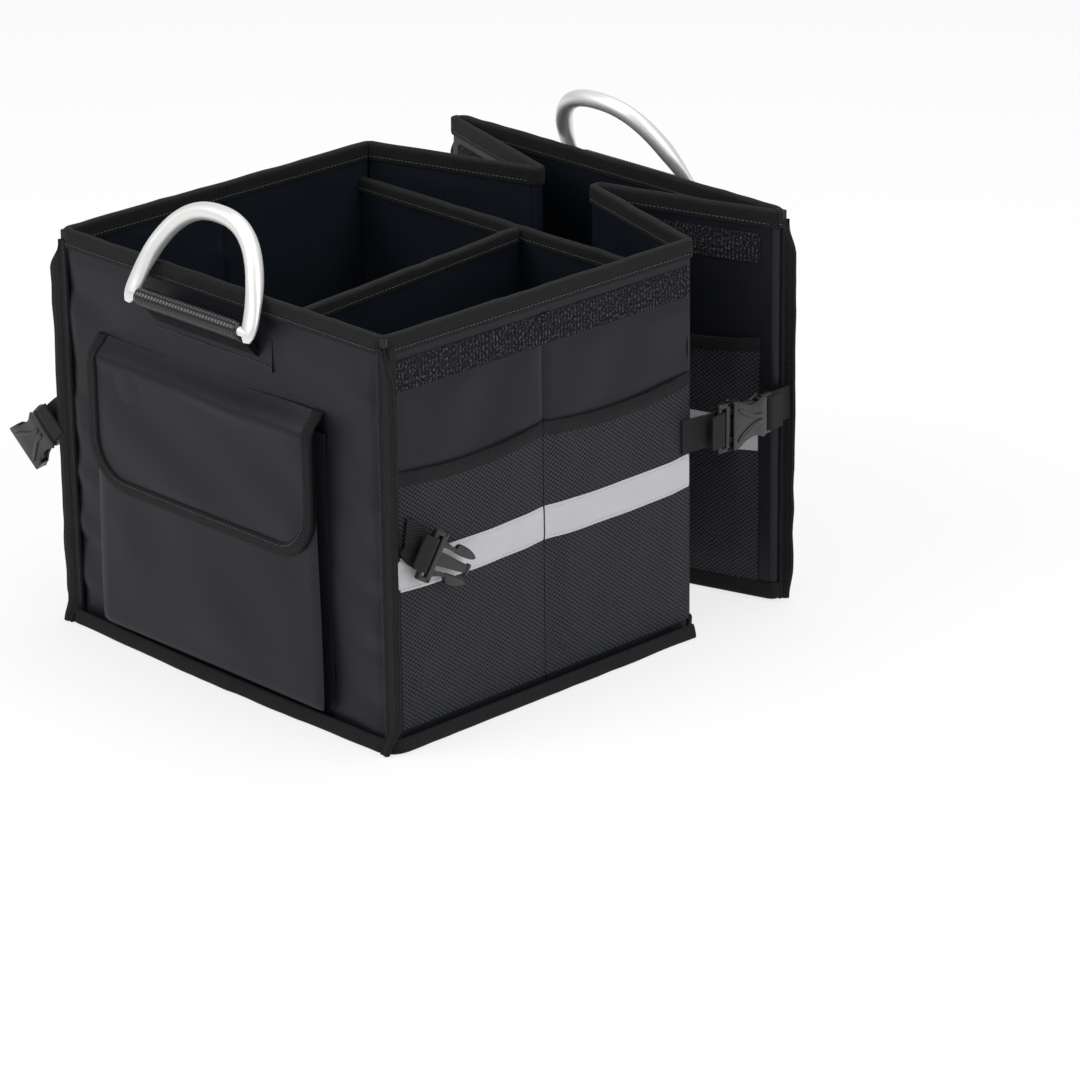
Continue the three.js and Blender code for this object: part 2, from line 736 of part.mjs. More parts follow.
// The near straps hang loose from the near corners.
function looseStraps() {
  const group = new THREE.Group();
  const degrees = THREE.MathUtils.degToRad;
  const droop = degrees(looseDroop);
  const seamY = nearFace + innerPivot + strapCorner;
  const rightSeam = frameMatrix(
    straight(trimFace + webThick / 2 + clear, seamY, strapCentre + 1),
    straight(1, 0, 0), straight(0.25, 1, -0.15),
  );
  const rightBuckle = frameMatrix(
    straight(trimFace + looseStandoff, seamY + webLead - 11, strapCentre + 1 - looseFall),
    straight(1, -0.1, 0), straight(0.1, Math.cos(droop), -Math.sin(droop)),
  );
  group.add(strap('near_right', rightSeam, rightBuckle, maleBuckle));
  const corner = -halfWidth - edgeProud - clear;
  const leftSeam = frameMatrix(
    straight(corner, nearFace + board / 2, strapCentre + 3), straight(0, -1, 0), straight(-1, 0, 0),
  );
  const yaw = degrees(leftYaw);
  const turn = degrees(leftTurn);
  const leftBuckle = frameMatrix(
    straight(corner - leftReach, nearFace, strapCentre + 3 - leftFall),
    straight(Math.sin(yaw), -Math.cos(yaw), 0), straight(-Math.cos(turn), 0, -Math.sin(turn)),
  );
  group.add(strap('near_left', leftSeam, leftBuckle, femaleBuckle));
  return group;
}

// Near bay

function nearWalls() {
  const group = new THREE.Group();
  const front = nearFace + innerPivot + clear;
  for (const [label, side] of [['right', 1], ['left', -1]]) {
    const face = side * halfWidth;
    const end = middle - clear / 2;
    group.add(
      wallPanel(`near_${label}_front_wall`, side, face, front, -clear / 2, wallFoot, false),
      wallPanel(`near_${label}_back_wall`, side, face, clear / 2, end, wallFoot, false),
      loopStrip(`near_${label}_loop_strip`, side, face, front, end),
      meshPocket(`near_${label}_mesh_pocket`, side, face, [[front, 0], [-0.5, end]]),
      reflector(`near_${label}_reflector`, side, face, front, end),
    );
  }
  return group;
}

function nearBay() {
  const group = new THREE.Group();
  const panel = place(endPanel('near', nearHandleShift, nearPivotDrop), 0, nearFace, 0);
  group.add(panel, nearWalls(), nearFloor(), nearBaseBoard(), dividers(), looseStraps());
  return group;
}

// Far bay: each side is a pair of leaves that folds inwards like a bellows.
// The corner pivots lie inside the inner tapes and the middle pivots outside the outer ones,
// so that the leaves close on their tapes and never on each other's boards.

function farLeafTrim(label, side, face) {
  const y0 = trimMargin;
  const y1 = farLeaf - trimMargin;
  return [
    loopStrip(`${label}_loop_strip`, side, face, y0, y1),
    meshPocket(`${label}_mesh_pocket`, side, face, [[y0, y1]]),
    reflector(`${label}_reflector`, side, face, y0, y1),
  ];
}

function farSide(label, side) {
  const front = new THREE.Group();
  const frontFace = side * innerPivot;
  const ends = [clear / 2, farLeaf - clear / 2];
  front.add(
    wallPanel(`far_${label}_front_wall`, side, frontFace, ...ends, farFoot, true),
    ...farLeafTrim(`far_${label}_front`, side, frontFace),
  );
  place(front, side * (halfWidth - innerPivot), middle, 0, side * theta);
  const back = new THREE.Group();
  const backFace = -side * tapeProud;
  back.add(
    wallPanel(`far_${label}_back_wall`, side, backFace, ...ends, farFoot, true),
    ...farLeafTrim(`far_${label}_back`, side, backFace),
  );
  place(back, side * pivotOffset, farLeaf, 0, -2 * side * theta);
  front.add(back);
  return { front, back };
}

// Folded tape along the foot of the far panel
function farHem() {
  const shape = outline([
    [-tapeProud, hemHeight], [-hemFlare, 0], [innerPivot, 0], [innerPivot, hemHeight],
    [board + clear, hemHeight], [board + clear, wallFoot - clear], [-clear, wallFoot - clear],
    [-clear, hemHeight],
  ]);
  const edge = halfWidth + tapeProud;
  return piece('far_panel_hem', alongX(shape, -edge, edge), tape);
}

// The cloth floor is two leaves that rise to a ridge as the bay closes.
// Their rise and length make the ridge follow the walls, with the panel's clearance at both ends.
const shut = 2 * leafInset;
const leafSpan = farLeaf - leafInset;
const leafRise = ((farDepth - shut) / 2 - leafSpan * Math.cos(theta)) / Math.sin(theta);

function floorLeaf(name, y0, y1, z0, wide, narrow, lipY, lipTop) {
  const lip = floorCloth / 2;
  const plate = outline([
    [y0, z0], [y1, z0], [y1, z0 + floorCloth], [y0, z0 + floorCloth],
  ]);
  const upstand = rectangle(lipY - lip, lipY + lip, z0, lipTop + lip, [0, 0, lip * 0.9, lip * 0.9]);
  const reach = Math.max(wide, narrow);
  const profile = join(alongX(plate, -reach, reach), alongX(upstand, -reach, reach));
  const plan = outline([[-wide, y0], [wide, y0], [narrow, y1], [-narrow, y1]]);
  return piece(name, common(profile, alongZ(plan, z0 - 1, lipTop + 2 * lip)), lining);
}

function farFloor() {
  const lip = floorCloth / 2;
  const wide = leafHalfWidth;
  const narrow = leafHalfWidth - leafSpan * Math.sin(theta);
  const near = new THREE.Group();
  near.add(floorLeaf(
    'far_floor_near_leaf', -lip, leafSpan - clear / 2, clear - leafRise, wide, narrow, 0, 0,
  ));
  place(near, 0, middle + leafInset, leafRise + farFoot);
  near.rotation.x = theta;
  const far = new THREE.Group();
  far.add(floorLeaf(
    'far_floor_far_leaf', clear / 2, leafSpan + lip, clear, narrow, wide, leafSpan, leafRise,
  ));
  far.position.set(0, leafSpan, -leafRise);
  far.rotation.x = -2 * theta;
  near.add(far);
  return near;
}

function farBay() {
  const group = new THREE.Group();
  const right = farSide('right', 1);
  const left = farSide('left', -1);
  const toCentre = -(halfWidth - innerPivot);

  // The far panel hangs on the right-hand leaves and keeps square to the near bay.
  const carrier = place(new THREE.Group(), -pivotOffset, farLeaf, 0, theta);
  const panel = endPanel('far', farHandleShift, farPivotDrop);
  panel.add(farHem());
  carrier.add(place(panel, toCentre, innerPivot + clear, 0, Math.PI));
  right.back.add(carrier);

  // Each clasped pair bridges the folded bay outside its side walls.
  const pairLength = barLength + shoulderGap + femaleLength + barFrame;
  const lead = (farDepth - pairLength) / 2;
  const rootX = halfWidth + clear + meshProud + clear + webThick / 2;
  const farRootX = halfWidth + edgeProud + clear + webThick / 2;
  const barX = farRootX + clear + barWrap;
  for (const [label, side] of [['right', 1], ['left', -1]]) {
    const maleNear = side > 0;
    group.add(claspStrap(
      `middle_${label}`, side, side * rootX, middle - strapRoot, 1, lead + strapRoot, side * barX,
      maleNear ? maleBuckle : femaleBuckle,
    ));
    carrier.add(claspStrap(
      `far_${label}`, side, side * farRootX + toCentre, strapRoot / 2, -1, lead + strapRoot / 2,
      side * barX + toCentre, maleNear ? femaleBuckle : maleBuckle,
    ));
  }
  group.add(right.front, left.front, farFloor());
  return group;
}

const organizer = new THREE.Group();
organizer.add(nearBay(), farBay());

export default organizer;
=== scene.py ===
import json
import math

import bmesh
import bpy
import numpy as np
from mathutils import Matrix, Vector


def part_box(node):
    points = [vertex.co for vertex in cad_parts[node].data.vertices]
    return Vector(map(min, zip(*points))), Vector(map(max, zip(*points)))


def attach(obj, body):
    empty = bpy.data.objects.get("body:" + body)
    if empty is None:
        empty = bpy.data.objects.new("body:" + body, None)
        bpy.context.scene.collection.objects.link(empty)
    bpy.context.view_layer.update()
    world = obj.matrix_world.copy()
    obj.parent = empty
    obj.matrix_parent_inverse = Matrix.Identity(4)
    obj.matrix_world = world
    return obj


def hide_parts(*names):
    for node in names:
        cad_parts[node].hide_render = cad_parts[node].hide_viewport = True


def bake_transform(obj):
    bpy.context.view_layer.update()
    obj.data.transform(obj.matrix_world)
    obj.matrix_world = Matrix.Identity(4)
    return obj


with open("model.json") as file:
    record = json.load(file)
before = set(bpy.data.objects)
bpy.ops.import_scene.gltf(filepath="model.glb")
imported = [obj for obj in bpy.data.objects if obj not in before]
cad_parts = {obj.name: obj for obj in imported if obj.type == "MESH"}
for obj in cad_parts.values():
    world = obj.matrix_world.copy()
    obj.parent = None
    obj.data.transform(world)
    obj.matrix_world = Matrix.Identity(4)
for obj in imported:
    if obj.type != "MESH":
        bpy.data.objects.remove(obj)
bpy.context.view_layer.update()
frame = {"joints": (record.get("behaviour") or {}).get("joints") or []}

# Every length below is in millimetres, and pieces are scaled to metres as they are made.
METRE = 1000.0
UP = np.array([0.0, 0.0, 1.0])


def box(node):
    """Lowest and highest corner of a node of the frame."""
    low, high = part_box(node)
    return np.array(low) * METRE, np.array(high) * METRE


def joint(name):
    """Pivot and longest travel in radians of a joint of the frame."""
    found = next(j for j in frame["joints"] if j["name"] == name)
    travel = max(found["range_deg"], key=abs)
    return np.array(found["pos_m"]) * METRE, math.radians(travel)


# Camera

CAMERA_PLACE = (2388.9, -2140.6, 1347.3)
CAMERA_AZIMUTH = 0.804
CAMERA_ELEVATION = 0.38
CAMERA_ROLL = -0.011
CAMERA_LENS = 158.79


def make_camera():
    data = bpy.data.cameras.new("camera")
    data.sensor_width = 36
    data.lens = CAMERA_LENS
    data.clip_end = 20
    cos_e = math.cos(CAMERA_ELEVATION)
    back = Vector((
        math.sin(CAMERA_AZIMUTH) * cos_e,
        -math.cos(CAMERA_AZIMUTH) * cos_e,
        math.sin(CAMERA_ELEVATION),
    ))
    level = Vector((math.cos(CAMERA_AZIMUTH), math.sin(CAMERA_AZIMUTH), 0))
    up = back.cross(level)
    right = math.cos(CAMERA_ROLL) * level + math.sin(CAMERA_ROLL) * up
    up = math.cos(CAMERA_ROLL) * up - math.sin(CAMERA_ROLL) * level
    turn = Matrix((right, up, back)).transposed().to_4x4()
    camera = bpy.data.objects.new("camera", data)
    camera.matrix_world = Matrix.Translation(Vector(CAMERA_PLACE) / METRE) @ turn
    bpy.context.scene.collection.objects.link(camera)
    bpy.context.scene.camera = camera


make_camera()

# Sizes read from the frame

PANEL_LOW, PANEL_HIGH = box("near_panel")
HALF = PANEL_HIGH[0]
TOP = PANEL_HIGH[2]
NEAR = PANEL_LOW[1]
FAR = box("far_panel")[1][1]
BOARD = PANEL_HIGH[1] - PANEL_LOW[1]
CORNER, FOLD = joint("far_bay_fold")
RIDGE = joint("far_right_middle_fold")[0]
FAR_CORNER = joint("far_panel_corner")[0]
MIDDLE = CORNER[1]
LEAF = float(np.hypot(*(FAR_CORNER - RIDGE)[:2]))
HEM = box("near_floor")[1][2]

# Sizes of the cloth trim

TAPE = 1.3            # thickness of the binding tape
RIM = 12.0            # depth of the rim's tape
INNER = 5.6           # corner pivots lie this far inside the outer face
PROUD = 1.6           # middle pivots lie this far outside it
RIM_LOW = TOP - RIM
RIM_HIGH = TOP + 1.7
FIN = 11.0            # width of the upright bindings that stand off the end panels' edges
FLARE = 8.0           # how far the hem's foot stands out

# Materials

def material(name, color, roughness, metallic=0.0, specular=0.5, sheen=0.0):
    """A principled material, its node tree's adder and its shader."""
    made = bpy.data.materials.new(name)
    made.use_nodes = True
    tree = made.node_tree
    shader = tree.nodes["Principled BSDF"]
    shader.inputs["Base Color"].default_value = (*color, 1)
    shader.inputs["Roughness"].default_value = roughness
    shader.inputs["Metallic"].default_value = metallic
    shader.inputs["Specular IOR Level"].default_value = specular
    shader.inputs["Sheen Weight"].default_value = sheen
    return made


def node(made, kind, **inputs):
    """Adds a node; an input is a value or another node's output."""
    new = made.node_tree.nodes.new(kind)
    for name, value in inputs.items():
        socket = new.inputs[int(name[1:])] if name[0] == "_" else new.inputs[name]
        if isinstance(value, bpy.types.NodeSocket):
            made.node_tree.links.new(value, socket)
        else:
            socket.default_value = value
    return new


def math_node(made, operation, a, b=0.0):
    new = node(made, "ShaderNodeMath", _0=a, _1=b)
    new.operation = operation
    return new.outputs[0]


def add(made, a, b):
    return math_node(made, "ADD", a, b)


def times(made, a, b):
    return math_node(made, "MULTIPLY", a, b)


def cloth_place(made):
    """The surface's own coordinates in millimetres, u along and v across, from its UV map."""
    where = node(made, "ShaderNodeUVMap")
    where.uv_map = "cloth"
    split = node(made, "ShaderNodeSeparateXYZ", Vector=where.outputs[0])
    return where.outputs[0], split.outputs[0], split.outputs[1]


def noise(made, place, scale, detail=2.0, roughness=0.5, stretch=None):
    if stretch:
        place = node(made, "ShaderNodeMapping", Vector=place, Scale=stretch).outputs[0]
    new = node(made, "ShaderNodeTexNoise", Vector=place, Scale=scale, Detail=detail, Roughness=roughness)
    return new.outputs[0]


def tint(made, factor, low, high):
    """A colour between two, by factor."""
    mix = node(made, "ShaderNodeMix")
    mix.data_type = "RGBA"
    made.node_tree.links.new(factor, mix.inputs[0])
    mix.inputs[6].default_value = (*low, 1)
    mix.inputs[7].default_value = (*high, 1)
    return mix.outputs[2]


def ramp(made, value, low, high):
    new = node(made, "ShaderNodeMapRange", _0=value, _3=low, _4=high)
    return new.outputs[0]


def finish_material(made, color=None, roughness=None, height=None, strength=0.3, distance=0.2):
    tree = made.node_tree
    shader = tree.nodes["Principled BSDF"]
    if color is not None:
        tree.links.new(color, shader.inputs["Base Color"])
    if roughness is not None:
        tree.links.new(roughness, shader.inputs["Roughness"])
    if height is not None:
        bump = node(made, "ShaderNodeBump", Strength=strength, Distance=distance / METRE, Height=height)
        tree.links.new(bump.outputs[0], shader.inputs["Normal"])
    return made


def ribs_along(made, u, pitch, phase=0.0):
    """A wave between 0 and 1 along u."""
    turned = times(made, u, 2 * math.pi / pitch)
    turned = add(made, turned, phase)
    return add(made, times(made, math_node(made, "SINE", turned), 0.5), 0.5)


def coated_cloth(name, color, rough, strength=0.25, specular=0.2):
    """Coated polyester: a fine plain weave under a satin film."""
    made = material(name, color, rough, specular=specular)
    place, u, v = cloth_place(made)
    warp = ribs_along(made, u, 0.9)
    weft = ribs_along(made, v, 0.9)
    weave = times(made, warp, weft)
    slub = noise(made, place, 0.35, 3, 0.6)
    soft = noise(made, place, 0.018, 3, 0.55)
    height = add(made, times(made, weave, 0.5), times(made, slub, 0.6))
    shade = tint(made, soft, [c * 0.82 for c in color], [c * 1.2 for c in color])
    gloss = ramp(made, soft, rough - 0.06, rough + 0.08)
    return finish_material(made, shade, gloss, height, strength, 0.12)


def woven_tape(name, color, rough=0.72):
    """Grosgrain binding: ribs across the tape with a fuzzy nap."""
    made = material(name, color, rough, specular=0.16, sheen=0.03)
    place, u, v = cloth_place(made)
    ribs = ribs_along(made, add(made, u, times(made, v, 0.6)), 1.7)
    rows = ribs_along(made, v, 1.9)
    fuzz = noise(made, place, 0.9, 4, 0.7)
    weave = times(made, ribs, add(made, times(made, rows, 0.6), 0.4))
    height = add(made, weave, times(made, fuzz, 0.7))
    shade = tint(made, times(made, weave, fuzz), [c * 0.4 for c in color], [c * 4.5 for c in color])
    return finish_material(made, shade, None, height, 0.75, 0.55)


def ribbed_elastic(name, color):
    made = material(name, color, 0.7, specular=0.2, sheen=0.03)
    place, _, v = cloth_place(made)
    ribs = ribs_along(made, v, 1.9)
    fuzz = noise(made, place, 0.8, 3, 0.7, (1, 0.4, 1))
    height = add(made, times(made, ribs, 1.4), fuzz)
    shade = tint(made, ribs, [c * 0.7 for c in color], [c * 1.35 for c in color])
    return finish_material(made, shade, None, height, 0.6, 0.4)


def netting(name, shaded_gaps, thread):
    """A knitted mesh: diamond cells of thread over the dark wall behind, whose holes carry painted shade
    darker than the wall's cloth.
    """
    made = material(name, thread, 0.5, specular=0.3)
    place, u, v = cloth_place(made)
    wander = noise(made, place, 0.05, 2, 0.5)
    slanted = add(made, u, times(made, v, 1.3))
    counter = math_node(made, "SUBTRACT", u, times(made, v, 1.3))
    drift = times(made, wander, 2.0)
    a = ribs_along(made, slanted, 4.3, drift)
    b = ribs_along(made, counter, 4.3, drift)
    cells = math_node(made, "MAXIMUM", a, b)
    threads = node(made, "ShaderNodeMapRange", _0=cells, _1=0.72, _2=0.97)
    # The holes take a painted shade colour, the threads their own colour.
    shade = tint(made, threads.outputs[0], shaded_gaps, thread)
    rough = ramp(made, threads.outputs[0], 0.75, 0.42)
    return finish_material(made, shade, rough, threads.outputs[0], 0.9, 0.7)


def loop_pile(name, low, high):
    made = material(name, low, 0.9, specular=0.15, sheen=0.02)
    place, u, _ = cloth_place(made)
    pile = noise(made, place, 0.62, 4, 0.75, (1, 0.7, 1))
    columns = ribs_along(made, u, 3.1)
    # The light specks are painted highlights: glints on the loops, put into the pile's colour.
    painted_glints = node(made, "ShaderNodeMapRange", _0=times(made, pile, add(
        made, times(made, columns, 0.14), 0.93)), _1=0.52, _2=0.64)
    shade = tint(made, painted_glints.outputs[0], low, high)
    return finish_material(made, shade, None, pile, 1.0, 1.2)


def reflective(name, color):
    made = material(name, color, 0.42, specular=0.6)
    place = cloth_place(made)[0]
    soft = noise(made, place, 0.05, 3, 0.6)
    fine = noise(made, place, 1.6, 2, 0.6)
    shade = tint(made, soft, [c * 0.9 for c in color], [c * 1.06 for c in color])
    return finish_material(made, shade, ramp(made, fine, 0.38, 0.5), fine, 0.12, 0.1)


def plastic(name, color):
    made = material(name, color, 0.36, specular=0.55)
    place = node(made, "ShaderNodeTexCoord").outputs["Object"]
    fine = noise(made, place, 900, 2, 0.6)
    soft = noise(made, place, 60, 2, 0.5)
    shade = tint(made, soft, [c * 0.85 for c in color], [c * 1.15 for c in color])
    return finish_material(made, shade, ramp(made, soft, 0.3, 0.42), fine, 0.15, 0.05)


def anodised(name, color):
    made = material(name, color, 0.42, metallic=0.7)
    place = node(made, "ShaderNodeTexCoord").outputs["Object"]
    grain = noise(made, place, 1500, 2, 0.7)
    soft = noise(made, place, 25, 3, 0.6)
    shade = tint(made, soft, [c * 0.95 for c in color], color)
    return finish_material(made, shade, ramp(made, soft, 0.38, 0.46), grain, 0.08, 0.03)


def thread(name, color):
    made = material(name, color, 0.6, sheen=0.3)
    place = node(made, "ShaderNodeTexCoord").outputs["Object"]
    twist = noise(made, place, 1200, 2, 0.6)
    return finish_material(made, tint(made, twist, [c * 0.7 for c in color], color), None, twist, 0.3, 0.1)


CLOTH = coated_cloth("coated_cloth", (0.0080, 0.0086, 0.0128), 0.42)
LINING = coated_cloth("lining", (0.0078, 0.0110, 0.0150), 0.27, 0.12, 0.42)
RIBBED = coated_cloth("sleeve_cloth", (0.0060, 0.0064, 0.0078), 0.2, 0.2, 0.5)
BINDING = woven_tape("binding_tape", (0.0068, 0.0062, 0.0072))
ELASTIC = ribbed_elastic("elastic", (0.0060, 0.0060, 0.0074))
# The first colour is painted shade in the mesh's holes, darker than the wall's own cloth.
NET = netting("mesh", (0.0012, 0.0014, 0.0024), (0.034, 0.037, 0.048))
# The lighter colour is painted glints on the loops; the darker is the pile's own.
LOOPS = loop_pile("loop_strip", (0.0035, 0.0038, 0.0052), (0.075, 0.08, 0.095))
SILVER = reflective("reflective_tape", (0.46, 0.45, 0.47))
WEBBING = woven_tape("webbing", (0.0095, 0.0095, 0.0105), 0.6)
PLASTIC = plastic("buckle_plastic", (0.012, 0.0125, 0.0135))
METAL = anodised("handle_metal", (0.86, 0.855, 0.84))
# Seam thread painted lighter than the tape it sews, so its rows show as highlights: partly the thread's own
# dark tone, partly painted highlight.
SEAM_THREAD_AND_HIGHLIGHT = thread("seam_thread_and_highlight", (0.035, 0.03, 0.03))
PALE_THREAD = thread("pale_thread", (0.62, 0.60, 0.55))


# Meshes

class Build:
    """Collects closed skins with their cloth coordinates and makes one piece of them."""

    def __init__(self):
        self.points = []
        self.faces = []
        self.uvs = []
        self.count = 0

    def add(self, points, faces, uvs):
        points = np.asarray(points, float).reshape(-1, 3)
        self.points.append(points)
        self.faces += [tuple(i + self.count for i in face) for face in faces]
        self.uvs += uvs
        self.count += len(points)

    def slab(self, outer, inner, u, v):
        """A closed sheet between two grids of points of the same shape."""
        nu, nv = outer.shape[:2]
        faces, uvs = [], []

        def at(i, j, side):
            return i * nv + j + side * nu * nv

        def quad(corners, ring):
            faces.append(corners)
            uvs.append([(u[i, j], v[i, j]) for i, j in ring])

        for i in range(nu - 1):
            for j in range(nv - 1):
                ring = [(i, j), (i + 1, j), (i + 1, j + 1), (i, j + 1)]
                quad([at(*c, 0) for c in ring], ring)
                ring = ring[::-1]
                quad([at(*c, 1) for c in ring], ring)
        rim = [(i, 0) for i in range(nu - 1)] + [(nu - 1, j) for j in range(nv - 1)]
        rim += [(i, nv - 1) for i in range(nu - 1, 0, -1)] + [(0, j) for j in range(nv - 1, 0, -1)]
        for a, b in zip(rim, rim[1:] + rim[:1]):
            quad([at(*a, 0), at(*a, 1), at(*b, 1), at(*b, 0)], [a, a, b, b])
        self.add(np.concatenate([outer.reshape(-1, 3), inner.reshape(-1, 3)]), faces, uvs)

    def sweep(self, rings):
        """A closed skin through rings of points, with u along the run and v round it."""
        rings = np.asarray(rings, float)
        ns, count = rings.shape[:2]
        steps = np.linalg.norm(np.diff(rings.mean(1), axis=0), axis=1)
        along = np.concatenate([[0], np.cumsum(steps)])
        sides = np.linalg.norm(np.diff(np.vstack([rings[0], rings[0][:1]]), axis=0), axis=1)
        around = np.concatenate([[0], np.cumsum(sides)])
        faces, uvs = [], []
        for i in range(ns - 1):
            for j in range(count):
                k = (j + 1) % count
                faces.append([i * count + j, i * count + k, (i + 1) * count + k, (i + 1) * count + j])
                uvs.append([
                    (along[i], around[j]), (along[i], around[j + 1]),
                    (along[i + 1], around[j + 1]), (along[i + 1], around[j]),
                ])
        for base in (0, (ns - 1) * count):
            faces.append([base + j for j in range(count)])
            uvs.append([(around[j], 0.0) for j in range(count)])
        self.add(rings.reshape(-1, 3), faces, uvs)

    def piece(self, name, body, look, replaces=(), sharp=40.0):
        """Makes the piece. Body is a name, which the piece is attached to; for two names with the points
        where its bend starts and ends, the piece is left unattached with its transform baked, and those names
        and points are not used.
        """
        data = bpy.data.meshes.new(name)
        data.from_pydata((np.concatenate(self.points) / METRE).tolist(), [], self.faces)
        layer = data.uv_layers.new(name="cloth")
        layer.data.foreach_set("uv", np.array([c for face in self.uvs for c in face], np.float32).ravel())
        shape = bmesh.new()
        shape.from_mesh(data)
        bmesh.ops.recalc_face_normals(shape, faces=shape.faces)
        shape.to_mesh(data)
        shape.free()
        data.materials.append(look)
        made = bpy.data.objects.new(name, data)
        bpy.context.scene.collection.objects.link(made)
        data.polygons.foreach_set("use_smooth", [True] * len(data.polygons))
        data.set_sharp_from_angle(angle=math.radians(sharp))
        if isinstance(body, str):
            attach(made, body)
        else:
            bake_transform(made)
        if replaces:
            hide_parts(*replaces)
        return made


def swept(rings):
    build = Build()
    build.sweep(rings)
    return build


def slabbed(*sides):
    build = Build()
    build.slab(*sides)
    return build


def headings(points):
    """Unit vectors along a run of points."""
    run = np.gradient(points, axis=0)
    return run / np.linalg.norm(run, axis=1)[:, None]


class Wall:
    """A wall's outer face: u along it, v up and n outwards."""

    def __init__(self, corner, along, outward):
        self.corner = np.array([*corner[:2], 0.0])
        self.along = np.array([*along[:2], 0.0])
        self.outward = np.array([*outward[:2], 0.0])

    def at(self, u, v, n):
        u, v, n = np.broadcast_arrays(*(np.asarray(x, float) for x in (u, v, n)))
        return (
            self.corner + u[..., None] * self.along + v[..., None] * UP + n[..., None] * self.outward
        )


def spread(low, high, step):
    """Evenly spaced values from low to high, about a step apart."""
    return np.linspace(low, high, max(2, int(math.ceil(abs(high - low) / step)) + 1))


def field(u0, u1, v0, v1, step):
    return np.meshgrid(spread(u0, u1, step), spread(v0, v1, step), indexing="ij")


def waves(u, v, amplitude, length, seed):
    """Slow waves in a cloth, from a handful of sines."""
    draw = np.random.default_rng(seed)
    total = np.zeros_like(u, dtype=float)
    for _ in range(7):
        angle = draw.uniform(0, 2 * math.pi)
        pitch = length * draw.uniform(0.6, 1.8)
        phase = draw.uniform(0, 2 * math.pi)
        run = (u * math.cos(angle) + v * math.sin(angle)) * 2 * math.pi / pitch
        total += np.sin(run + phase) * draw.uniform(0.4, 1.0)
    return total * amplitude / 3


def ease(x):
    x = np.clip(x, 0, 1)
    return x * x * (3 - 2 * x)


def fade(value, low, high, reach):
    """1 inside low to high, easing to 0 at both ends."""
    return ease((value - low) / reach) * ease((high - value) / reach)


def pucker(u, v, edge, pitch, reach, height, seed):
    """Small folds that run in from a sewn edge at u = edge."""
    draw = np.random.default_rng(seed)
    knots = np.linspace(-20, 340, 40)
    phase = np.interp(v, knots, np.cumsum(draw.normal(0, 0.8, 40)))
    strength = np.interp(v, knots, draw.uniform(0.3, 1.0, 40))
    depth = np.exp(-np.abs(u - edge) / reach) * strength
    return height * depth * np.sin(2 * math.pi * (v + 0.35 * (u - edge)) / pitch + phase)


def bump(value, centre, reach):
    return np.exp(-((value - centre) / reach) ** 2)


STITCH = 2.4          # length of a stitch
STITCH_PITCH = 3.4
STITCH_RADIUS = 0.34
CLOTH_STEP = 3.5      # grid of the boarded walls' cloth


def stitches(name, body, look, runs):
    """Rows of raised stitches along runs of points, each with its outward normal or normals."""
    build = Build()
    for run, normal in runs:
        run = np.asarray(run, float)
        normal = np.broadcast_to(np.asarray(normal, float), run.shape)
        lengths = np.concatenate([[0], np.cumsum(np.linalg.norm(np.diff(run, axis=0), axis=1))])

        def read(values, s):
            return np.array([np.interp(s, lengths, values[:, k]) for k in range(3)])

        for s in np.arange(STITCH_PITCH / 2, lengths[-1] - STITCH_PITCH / 2, STITCH_PITCH):
            a, b = read(run, s - STITCH / 2), read(run, s + STITCH / 2)
            out = read(normal, s)
            out /= np.linalg.norm(out)
            side = np.cross(out, (b - a) / np.linalg.norm(b - a))
            rings = []
            for t, wide in ((0.0, 0.35), (0.2, 1.0), (0.8, 1.0), (1.0, 0.35)):
                centre = a + (b - a) * t + out * (wide - 0.7) * STITCH_RADIUS
                rings.append([
                    centre + (out * math.sin(q) + side * math.cos(q)) * STITCH_RADIUS * wide
                    for q in (0.0, math.pi / 2, math.pi, 1.5 * math.pi)
                ])
            build.sweep(rings)
    return build.piece(name, body, look, sharp=180)


# Walls of the bays

NEAR_PANEL = Wall((0, NEAR), (1, 0), (0, -1))
FAR_PANEL = Wall((0, FAR), (-1, 0), (0, 1))
ENDS = (("near", NEAR_PANEL, "root"), ("far", FAR_PANEL, "far_end"))
SIDES = (("right", 1), ("left", -1))


def side_wall(side):
    return Wall((side * HALF, 0), (0, 1), (side, 0))


def far_leaf(side, back):
    """The outer face of a folding leaf, from its hinge at the near end."""
    pivot, face, angle = (RIDGE, -PROUD, -FOLD) if back else (CORNER, INNER, FOLD)
    along = np.array([-side * math.sin(angle), math.cos(angle)])
    across = np.array([side * math.cos(angle), math.sin(angle)])
    return Wall(np.array([side * pivot[0], pivot[1]]) + across * face, along, across)


LEAVES = [
    (f"far_{label}_{end}", side, far_leaf(side, back))
    for label, side in SIDES
    for end, back in (("front", False), ("back", True))
]


def boarded(name, body, wall, u0, u1, v0, v1, relief, seed, nodes, inside=None):
    """A boarded wall: cloth on its outer face and lining on its inner one."""
    u, v = field(u0, u1, v0, v1, CLOTH_STEP)
    cloth, lining = Build(), Build()
    calm = ease((RIM_LOW + 2 - v) / 14)
    cloth.slab(wall.at(u, v, relief(u, v) * calm + 0.1), wall.at(u, v, 0.1 - BOARD / 2), u, v)
    slack = 0.7 * waves(u, v, 1.0, 80, seed) + 0.5 * np.maximum(waves(u, v, 1.0, 34, seed + 2), 0) ** 2
    back = 0.4 + slack * fade(u, u0, u1, 14) * calm
    if inside:
        back = back + inside(u, v)
    lining.slab(wall.at(u, v, -0.1 - BOARD / 2), wall.at(u, v, -BOARD - back), u, v)
    cloth.piece(f"{name}_cloth", body, CLOTH, replaces=nodes)
    lining.piece(f"{name}_lining", body, LINING)


